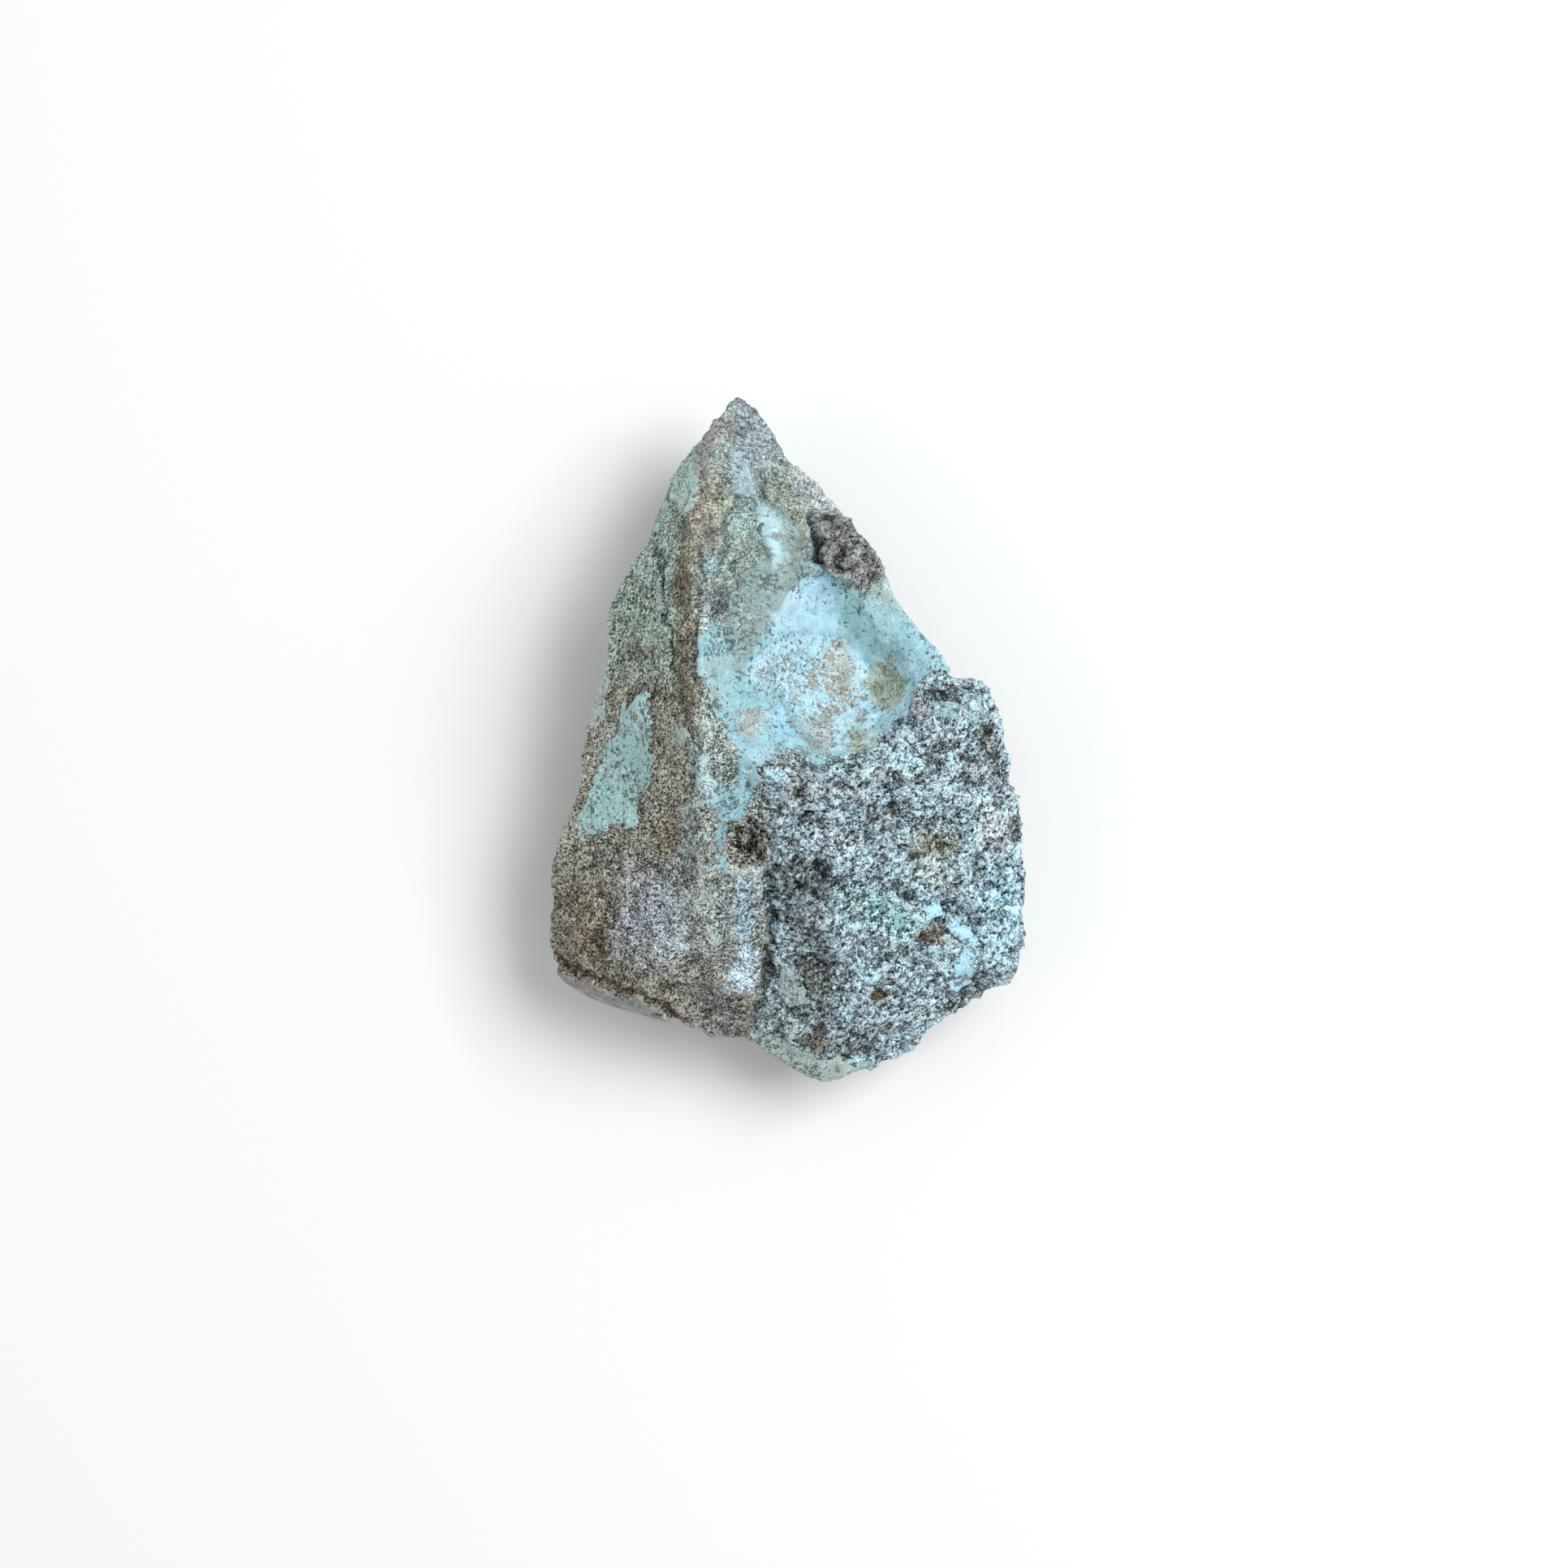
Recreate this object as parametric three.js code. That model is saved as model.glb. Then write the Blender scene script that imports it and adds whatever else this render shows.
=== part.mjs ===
// A raw turquoise nugget: one broken piece of rock, wedge-shaped, with a pointed
// end, a long ridge, a hollow lined with turquoise, a granular slab, a rounded
// lobe and an uneven belly with one flat spot that it rests on.
//
// Millimetres, +Z up. X runs across the stone, Y runs along it towards the point,
// and the origin is on the resting face, under the middle of the bounding box.
//
// The stone is a cap and a belly that share one rim. Every broken face of the cap
// is a plane laid through three spots on it. Faces that meet in an edge are joined
// by their lower one, and rock masses that meet in a crease by their higher one.

import * as THREE from 'three';
import { ImprovedNoise } from 'three/addons/math/ImprovedNoise.js';

// ---- driving dimensions ----

const HEIGHT = 35;            // resting face to the top of the ridge
const RINGS = 24;             // rings of triangles from the middle to the rim
const SIDES = 6;              // ring k has SIDES * k points, which keeps triangles even
const HEART = [-1, -7];       // the spot that the rings are laid around
const EDGE_WEAR = 1.4;        // how far two broken faces blend where they meet
const CREASE_WEAR = 1.2;      // how far two rock masses blend in a crease

// The rim as seen from above, clockwise from the point.
const RIM = [
  [-6.2, 41.6], [-4, 40.1], [-2, 37.8], [0, 34], [2.5, 31.6], [5, 29.3],
  [7, 26.8], [10.5, 22.4], [11.7, 20], [12.6, 17.2], [16, 12.5], [18.6, 9.8],
  [19.5, 7.8], [22, 7], [24, 6.1], [25.2, 3], [26.5, -1.5], [26.6, -4],
  [28.2, -8.5], [28.7, -13], [29, -19.5], [29, -24.5], [27.9, -28.3], [25, -30.6],
  [20.6, -32.9], [17.4, -35.6], [15.6, -37.3], [11.8, -39.6], [10.3, -40.9],
  [8.8, -40.2], [5, -41.6], [0, -39.6], [-4.4, -36.5], [-8.3, -35.9],
  [-12.3, -34.5], [-17.5, -33.2], [-22, -31.9], [-26, -30.1], [-27.9, -28],
  [-29.1, -23.4], [-28.5, -19.6], [-28.7, -16], [-27, -10.6], [-25, -5.8],
  [-24.8, -2.9], [-24, 2], [-22.7, 5.7], [-21.4, 11.3], [-21.6, 15],
  [-18.1, 21.8], [-16.4, 24.5], [-14.4, 30.4], [-13.2, 32.5], [-10.5, 36.2],
  [-7.7, 38.8], [-6.9, 40.8],
];

// ---- small helpers ----

const grain = new ImprovedNoise();

// The height over (x, y) of the plane through three spots on a broken face.
function face(a, b, c) {
  const plane = new THREE.Plane().setFromCoplanarPoints(
    new THREE.Vector3(...a),
    new THREE.Vector3(...b),
    new THREE.Vector3(...c),
  );
  const { normal, constant } = plane;
  return (x, y) => -(constant + normal.x * x + normal.y * y) / normal.z;
}

// The lower of two heights, blended where they come within `wear` of each other.
function lower(a, b, wear) {
  const near = Math.max(wear - Math.abs(a - b), 0) / wear;
  return Math.min(a, b) - near * near * wear / 4;
}

function higher(a, b, wear) {
  return -lower(-a, -b, wear);
}

// A rock mass whose broken faces meet in worn edges.
function mass(faces) {
  return (x, y) => faces.map((f) => f(x, y)).reduce((a, b) => lower(a, b, EDGE_WEAR));
}

// 1 in the middle of an oval spot, falling to 0 at its edge. The oval is given by
// its middle, its half sizes and its turn in radians.
function spot(x, y, { middle, half, turn }) {
  const dx = x - middle[0];
  const dy = y - middle[1];
  const along = (dx * Math.cos(turn) + dy * Math.sin(turn)) / half[0];
  const across = (dy * Math.cos(turn) - dx * Math.sin(turn)) / half[1];
  return 1 - THREE.MathUtils.smoothstep(Math.hypot(along, across), 0.35, 1);
}

// Uneven breakage: creased broad knocks with smaller chips on them.
const KNOCK = { across: 9, height: 1.5, sunk: 0.3 };
const CHIP = { across: 3.6, height: 0.45 };

function breakage(x, y, z) {
  const knock = Math.abs(grain.noise(x / KNOCK.across, y / KNOCK.across, z / KNOCK.across));
  const chip = grain.noise(x / CHIP.across, y / CHIP.across, z / CHIP.across);
  return KNOCK.height * knock - KNOCK.sunk + CHIP.height * chip;
}

// ---- the cap ----

// Spots along the ridge, from the point to the top of the lobe.
const POINT = [-6.2, 41.6, 18];
const SHOULDER = [-11.2, 22, 30];
const CROWN = [-10.8, 6, 34];
const SADDLE = [-10.4, -13, 29];
const LOBE_TOP = [-13, -21, 24.5];

// Left of the ridge the faces are steep. The lobe stands out below them.
const leftFaces = mass([
  face(POINT, SHOULDER, [-13.5, 32.5, 15]),                  // by the point
  face(SHOULDER, CROWN, [-21.5, 14, 17.5]),                  // upper half
  face(CROWN, SADDLE, [-24.6, 0, 15.5]),                     // lower half
]);
const lobeLeft = mass([
  face(LOBE_TOP, [-28.5, -15, 15], [-29, -24, 13.5]),        // the lobe's left side
  face([-10, -13, 30], [-28, -9, 15.5], [-17, 4, 20]),       // end buried under the left face
  face([-28.8, -29.4, 12], [-12.8, -35.9, 12], [-19.5, -31, 19]),  // strip of pale crust
]);

// Right of the ridge three rock masses meet: the wedge that carries the point,
// the granular slab, and the lobe.
const wedge = mass([
  face(POINT, SHOULDER, [8, 25, 19.5]),                      // by the point
  face([-11, 13, 34], [12.5, 17, 21], [18.6, 9.8, 22]),      // round the hollow
  face([-10, 1, 34], [20, 2, 24], [-3, -14, 24]),            // end that dips under the slab
]);

const slab = mass([
  face([-3, -5, 30.5], [28, -15, 18.5], [8, -41, 13.5]),     // the broad granular face
  face([12, -2, 27], [24, 6, 22], [27, -4, 21]),             // the spur at its top corner
  face([-2.4, -14, 25], [-2.4, -34, 14.5], [6, -24, 22]),    // shoulder along the crease
  face([-2.6, -14, 26], [-2.6, -34, 16], [-8, -24, 14]),     // side buried under the lobe
  face([23, -12, 20.5], [23, -26, 17.5], [29, -18, 14.5]),   // worn right edge
  face([20, -28, 17], [9, -36, 15], [22, -34, 11]),          // worn lower corner
  face([-6.4, -1.5, 33.5], [20, 4, 24.5], [7, 9, 19]),       // end towards the hollow
]);

const lobe = mass([
  face([-10, -4, 33], [-8.5, -22, 24.5], [-2.5, -20, 20.5]), // side that falls to the crease
  face([-13, -26, 21.5], [-22, -31, 16], [-6, -35.5, 15]),   // lower end
  face([-11, -3, 34], [-3, -4, 29], [-9, 5, 26]),            // end buried under the wedge
]);

// The hollow beside the ridge: broken faces on three sides and a round wall that
// climbs from a low spot to the slab.
const HOLLOW_LOW = { middle: [7.2, 10.5], height: 17, radius: 4, wallSlope: 1.05 };
const shelf = face([-7.5, 14, 28.6], [-1.5, 15, 26.8], [-4, 5, 26.8]);
const brightSlope = face([-1.5, 16, 26.8], [5.6, 15, 18], [-1, 8, 25]);

function roundWall(x, y) {
  const [midX, midY] = HOLLOW_LOW.middle;
  const away = Math.hypot(x - midX, y - midY) - HOLLOW_LOW.radius;
  return HOLLOW_LOW.height + HOLLOW_LOW.wallSlope * away;
}

const hollowFaces = [
  face([-10, 20, 31.5], [-9.6, 4, 33.5], [-7.5, 12, 28]),    // step down from the ridge
  (x, y) => lower(shelf(x, y), brightSlope(x, y), EDGE_WEAR),
  face([5.6, 12, 17.8], [0, 6, 22.8], [10, 6, 18.6]),        // floor
  face([5.6, 15, 18.2], [11.5, 16, 22.6], [9.5, 9, 17.8]),   // wall under the right rim
  roundWall,
];

function hollow(x, y) {
  return hollowFaces.map((f) => f(x, y)).reduce((a, b) => higher(a, b, CREASE_WEAR));
}

const KNOB = { middle: [7.4, 22.2], half: [4.6, 5.4], turn: -0.8 };    // rough and brown
const KNOB_HEIGHT = 1.9;
const PIT = { middle: [-4.9, -12.4], half: [2.9, 3.1], turn: 0 };      // beside the crease
const PIT_DEPTH = 2.4;
const LINING = { middle: [4, 9], half: [18, 15], turn: -0.6 };         // smooth turquoise
const LINING_CALM = 0.75;     // how much of the breakage the lining hides

function cap(x, y) {
  const left = higher(leftFaces(x, y), lobeLeft(x, y), CREASE_WEAR);
  const right = higher(higher(wedge(x, y), slab(x, y), CREASE_WEAR), lobe(x, y), CREASE_WEAR);
  const rock = lower(left, right, EDGE_WEAR);
  const lined = lower(rock, hollow(x, y), EDGE_WEAR);
  const knob = KNOB_HEIGHT * spot(x, y, KNOB);
  const pit = PIT_DEPTH * spot(x, y, PIT);
  const broken = 1 - LINING_CALM * spot(x, y, LINING);
  return lined + knob - pit + broken * breakage(x, y, lined);
}

// ---- the rim ----

const rim = new THREE.CatmullRomCurve3(
  RIM.map(([x, y]) => new THREE.Vector3(x, y, 0)), true, 'centripetal',
);
rim.arcLengthDivisions = 1200;  // fine enough to space points evenly along the rim

// ---- the belly ----

// Broken faces under the rim, as [way it faces in degrees, slope]. Each is laid
// just inside the furthest part of the rim that way, a little under its height.
const SIDE_FACES = [
  [8, 2.2], [48, 1.6], [83, 1.9], [128, 1.5], [163, 2.4], [196, 1.7],
  [232, 2.6], [262, 1.8], [292, 2.4], [330, 1.5],
];
const RIM_INSET = 0.6;        // from the furthest part of the rim to a side face
const SIDE_START = 0.85;      // a side face passes the rim at this part of its height
const LIP_WIDTH = 2.2;        // band under the rim where the sides turn in
const LEAST_SLOPE = 0.55;     // the belly falls away from the rim at least this steeply
const BELLY_GRAIN = 40;       // picks a different part of the grain for the belly

const sides = SIDE_FACES.map(([degrees, slope]) => {
  const angle = THREE.MathUtils.degToRad(degrees);
  const way = new THREE.Vector2(Math.cos(angle), Math.sin(angle));
  const reachOf = ([x, y]) => x * way.x + y * way.y;
  const far = RIM.reduce((a, b) => (reachOf(b) > reachOf(a) ? b : a));
  const reach = reachOf(far) - RIM_INSET;
  const height = SIDE_START * cap(far[0], far[1]);
  return (x, y) => height - slope * (reach - reachOf([x, y]));
});

// Faces that rise gently from the resting face.
const underFaces = [
  face([-6, 16, 0], [8, 8, 0], [-6, 40, 10]),        // under the point
  face([9, 8, 0], [12, -18, 0], [27, -4, 8]),        // under the right side
  face([-10, -24, 0], [8, -22, 0], [4, -40, 7.5]),   // under the lower end
  face([-14, 8, 0], [-16, -18, 0], [-27, -12, 6]),   // under the left side
];

const bellyFaces = [...sides, ...underFaces];

function belly(x, y, rimHeight, inward) {
  const rock = bellyFaces.map((f) => f(x, y)).reduce((a, b) => higher(a, b, EDGE_WEAR));
  const rough = rock + breakage(x, y, BELLY_GRAIN);
  const under = lower(rough, rimHeight - LEAST_SLOPE * inward, CREASE_WEAR);
  const turnIn = THREE.MathUtils.smoothstep(inward, 0, LIP_WIDTH);
  return Math.max(0, THREE.MathUtils.lerp(rimHeight, under, turnIn));
}

// ---- the mesh: rings of points for the cap, then for the belly ----

// Points of one side, ring by ring from the middle out. `heightAt` gives the surface.
function ringPoints(heightAt, rings) {
  const points = [new THREE.Vector3(HEART[0], HEART[1], heightAt(HEART[0], HEART[1], 0, 0))];
  for (let k = 1; k <= rings; k += 1) {
    for (let j = 0; j < SIDES * k; j += 1) {
      const along = j / (SIDES * k);
      const edge = rim.getPointAt(along);
      const x = HEART[0] + (edge.x - HEART[0]) * k / RINGS;
      const y = HEART[1] + (edge.y - HEART[1]) * k / RINGS;
      const inward = Math.hypot(edge.x - x, edge.y - y);
      points.push(new THREE.Vector3(x, y, heightAt(x, y, cap(edge.x, edge.y), inward)));
    }
  }
  return points;
}

// Triangles between the rings, as [ring, step] corners, anticlockwise from above
// because the rim runs clockwise.
function ringTriangles() {
  const triangles = [];
  for (let k = 1; k <= RINGS; k += 1) {
    for (let side = 0; side < SIDES; side += 1) {
      for (let step = 0; step < k; step += 1) {
        const outer = side * k + step;
        const inner = side * (k - 1) + step;
        triangles.push([[k, outer], [k - 1, inner], [k, outer + 1]]);
        if (step < k - 1) triangles.push([[k - 1, inner], [k - 1, inner + 1], [k, outer + 1]]);
      }
    }
  }
  return triangles;
}

function pointIndex(ring, step) {
  if (ring === 0) return 0;
  return 1 + SIDES * ring * (ring - 1) / 2 + step % (SIDES * ring);
}

function stoneGeometry() {
  const capPoints = ringPoints((x, y) => cap(x, y), RINGS);
  const bellyPoints = ringPoints(belly, RINGS - 1);
  const top = Math.max(...capPoints.map((p) => p.z));
  const stretch = HEIGHT / top;
  const points = [...capPoints, ...bellyPoints];
  const positions = points.flatMap((p) => [p.x, p.y, p.z * stretch]);
  // The belly uses the cap's outermost ring as its own, which closes the rim.
  const onBelly = (ring, step) => (ring === RINGS ? 0 : capPoints.length) + pointIndex(ring, step);
  const indices = [];
  for (const [a, b, c] of ringTriangles()) {
    indices.push(pointIndex(...a), pointIndex(...b), pointIndex(...c));
    indices.push(onBelly(...a), onBelly(...c), onBelly(...b));
  }
  const geometry = new THREE.BufferGeometry();
  geometry.setAttribute('position', new THREE.Float32BufferAttribute(positions, 3));
  geometry.setIndex(indices);
  geometry.computeBoundingBox();
  const { min, max } = geometry.boundingBox;
  geometry.translate(-(min.x + max.x) / 2, -(min.y + max.y) / 2, 0);
  geometry.computeVertexNormals();
  return geometry;
}

// ---- the scene graph ----

const rock = new THREE.MeshStandardMaterial({ color: 0x93a9a9, roughness: 0.88, metalness: 0 });

const nugget = new THREE.Group();
const stone = new THREE.Mesh(stoneGeometry(), rock);
stone.name = 'turquoise_nugget';
nugget.add(stone);

export default nugget;
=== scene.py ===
# %% [markdown]
# # A raw turquoise nugget
# The object is one piece of natural rock, 58 mm across, 83 mm long and 35 mm thick.
# Pale turquoise coats some of its broken faces, and the rest is granular host rock.
# The shape was settled first, as a faceted solid that this script loads as a frame.
# Here the same stone gets its fine surface: small relief in the mesh, and minerals
# in one material. Every distance below is in millimetres unless it says metres.

import bpy
import numpy as np
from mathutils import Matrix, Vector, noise


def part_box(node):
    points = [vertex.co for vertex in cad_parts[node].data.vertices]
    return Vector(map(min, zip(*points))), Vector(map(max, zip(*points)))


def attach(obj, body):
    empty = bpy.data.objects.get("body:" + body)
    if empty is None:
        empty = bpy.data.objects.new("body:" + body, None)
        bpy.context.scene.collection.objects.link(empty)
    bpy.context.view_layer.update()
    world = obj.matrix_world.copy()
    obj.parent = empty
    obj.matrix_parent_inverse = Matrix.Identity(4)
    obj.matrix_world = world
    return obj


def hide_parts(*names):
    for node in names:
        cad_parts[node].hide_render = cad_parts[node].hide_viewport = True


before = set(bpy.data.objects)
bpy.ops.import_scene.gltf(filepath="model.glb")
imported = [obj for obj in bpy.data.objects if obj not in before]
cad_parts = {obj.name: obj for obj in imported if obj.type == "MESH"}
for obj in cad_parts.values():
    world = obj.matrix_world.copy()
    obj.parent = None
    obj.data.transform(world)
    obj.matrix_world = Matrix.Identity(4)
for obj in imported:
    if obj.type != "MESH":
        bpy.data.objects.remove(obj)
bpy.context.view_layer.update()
MM = 0.001
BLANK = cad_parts["turquoise_nugget"]
low, high = (np.array(corner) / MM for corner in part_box("turquoise_nugget"))
print("faceted stone, mm:", np.round(high - low, 2), "facets:", len(BLANK.data.polygons))

# %% [markdown]
# ## The view
# A stone that lies on a table is best understood from straight above, with its point
# at the top. A long lens keeps the high ridge from looming over the low rim. The
# camera looks down along -Z by default, so it needs no turn, only a place.

# %% The camera
LENS = 85.0
SENSOR = 36.0
VIEW_ACROSS = 189.3
RIM_HEIGHT = 15.0
VIEW_MIDDLE = (-0.4, -5.4)

camera_data = bpy.data.cameras.new("camera_above")
camera_data.lens = LENS
camera_data.sensor_width = SENSOR
camera_data.clip_start = 0.01
camera = bpy.data.objects.new("camera_above", camera_data)
camera_height = RIM_HEIGHT + VIEW_ACROSS * LENS / SENSOR
camera.location = (VIEW_MIDDLE[0] * MM, VIEW_MIDDLE[1] * MM, camera_height * MM)
bpy.context.scene.collection.objects.link(camera)
bpy.context.scene.camera = camera
print("camera height, mm:", round(camera_height, 1))

# %% [markdown]
# ## The light
# Rough stone has almost no gloss, so its shape is read from soft shade alone. One
# wide lamp high on the right leaves the faces left of the ridge in half shade. A weak,
# slightly warm lamp on the left and a pale sky keep that shade open. Area lamps are used
# because their shadows have soft edges.

# %% Two lamps and a pale sky
KEY_COLOUR = (0.97, 0.99, 1.0)
FILL_COLOUR = (1.0, 0.96, 0.9)
SKY_COLOUR = (0.97, 0.99, 1.0)
SKY_STRENGTH = 0.47


def soft_lamp(name, place, size, watts, colour):
    """A square area lamp at a place in metres, aimed at the stone."""
    lamp_data = bpy.data.lights.new(name, "AREA")
    lamp_data.size = size
    lamp_data.energy = watts
    lamp_data.color = colour
    lamp = bpy.data.objects.new(name, lamp_data)
    lamp.location = place
    aim = -np.array(place) + (0, 0, RIM_HEIGHT * MM)
    lamp.rotation_euler = lamp.location.to_track_quat("Z", "Y").to_euler()
    bpy.context.scene.collection.objects.link(lamp)
    print(name, "distance, m:", round(float(np.linalg.norm(aim)), 2))


soft_lamp("key_lamp", place=(0.44, 0.20, 0.74), size=0.50, watts=5.9, colour=KEY_COLOUR)
soft_lamp("fill_lamp", place=(-0.60, -0.10, 0.55), size=0.60, watts=0.6, colour=FILL_COLOUR)

sky = bpy.data.worlds.new("pale_sky")
sky.use_nodes = True
sky.node_tree.nodes["Background"].inputs["Color"].default_value = (*SKY_COLOUR, 1)
sky.node_tree.nodes["Background"].inputs["Strength"].default_value = SKY_STRENGTH
bpy.context.scene.world = sky
bpy.context.scene.view_settings.view_transform = "Standard"

# %% [markdown]
# ## The floor
# A plain pale sheet, wide enough that its edge never shows. It isn't part of the
# stone, so it is marked as stage.

# %% A pale floor
FLOOR_HALF_METRES = 3.0
FLOOR_PAINT = (0.95, 0.95, 0.95, 1)
FLOOR_ROUGHNESS = 0.9

floor_mesh = bpy.data.meshes.new("pale_floor")
floor_corners = [(-1, -1), (1, -1), (1, 1), (-1, 1)]
floor_mesh.from_pydata([(x * FLOOR_HALF_METRES, y * FLOOR_HALF_METRES, 0) for x, y in floor_corners],
                       [], [(0, 1, 2, 3)])
floor = bpy.data.objects.new("pale_floor", floor_mesh)
bpy.context.scene.collection.objects.link(floor)
floor_paint = bpy.data.materials.new("matt_white")
floor_paint.use_nodes = True
floor_shader = floor_paint.node_tree.nodes["Principled BSDF"]
floor_shader.inputs["Base Color"].default_value = FLOOR_PAINT
floor_shader.inputs["Roughness"].default_value = FLOOR_ROUGHNESS
floor_mesh.materials.append(floor_paint)
print("floor, m:", 2 * FLOOR_HALF_METRES)

# %% [markdown]
# ## A finer skin for the stone
# The faceted solid has triangles 2 mm wide, too coarse for grains and chips. It could
# be subdivided, but its triangles are uneven and long on the steep sides. A voxel
# remesh gives even squares everywhere, so each grain gets the same number of points.
# The squares are a little over a third of a millimetre wide. The squares are about as
# small as they can be with under 200,000 triangles in all.
# A few rounds of smoothing then melt the facets and the steps of the voxels. Each
# inward round is followed by an outward one, which keeps the stone from shrinking.

# %% Even squares over the whole stone
SKIN_STEP = 0.373
SMOOTH_ROUNDS = 6
SMOOTH_PUSH = 0.58
TRIANGLES_IN_A_SQUARE = 2


def even_copy(node, name, step):
    """A new object with the node's shape, in even squares of about `step` mm."""
    stone = bpy.data.objects.new(name, node.data.copy())
    bpy.context.scene.collection.objects.link(stone)
    remesh = stone.modifiers.new("even_squares", "REMESH")
    remesh.mode = "VOXEL"
    remesh.voxel_size = step * MM
    graph = bpy.context.evaluated_depsgraph_get()
    even = bpy.data.meshes.new_from_object(stone.evaluated_get(graph))
    stone.modifiers.clear()
    stone.data = even
    return stone


def points_of(mesh):
    """The mesh's points in mm."""
    flat = np.empty(len(mesh.vertices) * 3, np.float32)
    mesh.vertices.foreach_get("co", flat)
    return flat.reshape(-1, 3).astype(float) / MM


def move_points(mesh, points):
    """Puts the mesh's points at places in mm."""
    mesh.vertices.foreach_set("co", (points * MM).astype(np.float32).ravel())
    mesh.update()


def edges_of(mesh):
    """The two point numbers of each edge."""
    flat = np.empty(len(mesh.edges) * 2, np.int32)
    mesh.edges.foreach_get("vertices", flat)
    return flat.reshape(-1, 2)


def neighbour_mean(values, edges):
    """For each point, the mean of its neighbours' values."""
    ends = np.concatenate([edges[:, 0], edges[:, 1]])
    others = np.concatenate([edges[:, 1], edges[:, 0]])
    count = np.bincount(ends, minlength=len(values))
    columns = [np.bincount(ends, weights=column[others], minlength=len(values)) / count
               for column in values.reshape(len(values), -1).T]
    return np.stack(columns, axis=1).reshape(values.shape)


def smoothed(values, edges, rounds, pull=0.6, push=0.0):
    """Values drawn to their neighbours' mean, and pushed back a little after each round."""
    for _ in range(rounds):
        values = values + pull * (neighbour_mean(values, edges) - values)
        if push:
            values = values - push * (neighbour_mean(values, edges) - values)
    return values


stone = even_copy(BLANK, "turquoise_stone", SKIN_STEP)
edges = edges_of(stone.data)
smooth_points = smoothed(points_of(stone.data), edges, SMOOTH_ROUNDS, push=SMOOTH_PUSH)
move_points(stone.data, smooth_points)
squares = len(stone.data.polygons)
print("squares:", squares, "triangles:", squares * TRIANGLES_IN_A_SQUARE, "points:", len(smooth_points))

# %% [markdown]
# ## Natural unevenness
# Nothing on a broken stone is even, and the same few kinds of unevenness come back
# everywhere: lumps, and the thin creases between grains. Both come from one noise
# function at different sizes. A fixed shift for each use keeps them apart and gives
# the same stone each time.

# %% Lumps and creases
SHIFT = np.array([17.31, -9.73, 5.17])


def lumps(spots, size, octaves=3, seed=0):
    """Values from about -1 to 1, in lumps about `size` mm wide."""
    places = spots / size + SHIFT * seed
    return np.array([noise.fractal(place, 1.0, 2.0, octaves) for place in places.tolist()])


def creases(spots, size, octaves=2, seed=0):
    """1 on thin wandering lines and 0 in the grains between them."""
    return 1 - np.clip(np.abs(lumps(spots, size, octaves, seed)) * 3.0, 0, 1)


def wander(spots, size, reach, seed):
    """Spots moved sideways by up to about `reach` mm, to make a drawn edge uneven."""
    moves = [lumps(spots, size, 3, seed + k) for k in range(3)]
    return spots + reach * np.stack(moves, axis=1)


STRAIGHTER = 0.35

uneven = wander(smooth_points, size=4.5, reach=0.9, seed=20)
uneven = wander(uneven, size=1.3, reach=0.45, seed=30)
from_above = uneven[:, :2]
nearly_straight = smooth_points[:, :2] + STRAIGHTER * (from_above - smooth_points[:, :2])
moved = np.abs(from_above - smooth_points[:, :2])
print("drawn edges wander by up to, mm:", round(float(moved.max()), 2))

# %% [markdown]
# ## Which way the surface faces
# Marks are laid out as seen from above, so the script has to know which points belong
# to the upper faces and which to the belly. The direction of the surface tells that.
# It is smoothed well, so one chip doesn't count as a new face, and a slow noise is
# added, so the border between top and belly wanders as it does on a broken stone.

# %% Directions, and the upper side
FACING_ROUNDS = 8
BORDER_WANDER = 0.18
BORDER_LUMP = 6.5
REST_FLAT = 0.25
REST_FADE = 1.2


def directions_of(mesh):
    """Which way the surface faces at each point."""
    flat = np.empty(len(mesh.vertices) * 3, np.float32)
    mesh.vertex_normals.foreach_get("vector", flat)
    return flat.reshape(-1, 3).astype(float)


def unit(vectors):
    """The same directions with a length of 1."""
    return vectors / np.linalg.norm(vectors, axis=1, keepdims=True)


def step_up(values, start, end):
    """0 below start, 1 above end, with an eased change between."""
    t = np.clip((values - start) / (end - start), 0, 1)
    return t * t * (3 - 2 * t)


facing = unit(smoothed(directions_of(stone.data), edges, FACING_ROUNDS))
facing_up = facing[:, 2] + BORDER_WANDER * lumps(smooth_points, BORDER_LUMP, 3, 70)
upper = step_up(facing_up, -0.25, 0.05)
resting = 1 - step_up(smooth_points[:, 2], REST_FLAT, REST_FADE)
print("share of upper side:", round(float(upper.mean()), 2),
      "resting:", round(float(resting.mean()), 2))

# %% [markdown]
# ## Ways to lay out a mark
# A patch with a crisp border is drawn as an outline, and kept as the distance inside
# it, so the material can still roughen the border. A soft stain is an oval that fades.
# A crack is a line of spots with a width. All three take the uneven spots, so no
# drawn edge comes out straight.

# %% Outlines, ovals and lines
def inside(outline, at):
    """How far in mm each spot is inside an outline; negative outside it."""
    corners = np.array(outline, float)
    nearest = np.full(len(at), np.inf)
    within = np.zeros(len(at), bool)
    for a, b in zip(corners, np.roll(corners, -1, axis=0)):
        nearest = np.minimum(nearest, off_line(a, b, at))
        crosses = (a[1] > at[:, 1]) != (b[1] > at[:, 1])
        slant = (b[0] - a[0]) / (b[1] - a[1]) if b[1] != a[1] else 0
        within ^= crosses & (at[:, 0] < a[0] + (at[:, 1] - a[1]) * slant)
    return np.where(within, nearest, -nearest)


def off_line(a, b, at):
    """Distance in mm from the straight line between two spots."""
    way = b - a
    along = np.clip(((at - a) @ way) / (way @ way), 0, 1)
    return np.linalg.norm(at - a - along[:, None] * way, axis=1)


FRAY = 0.32 * lumps(smooth_points, 3.2, 4, 60) + 0.2 * lumps(smooth_points, 1.1, 2, 62)


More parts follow.
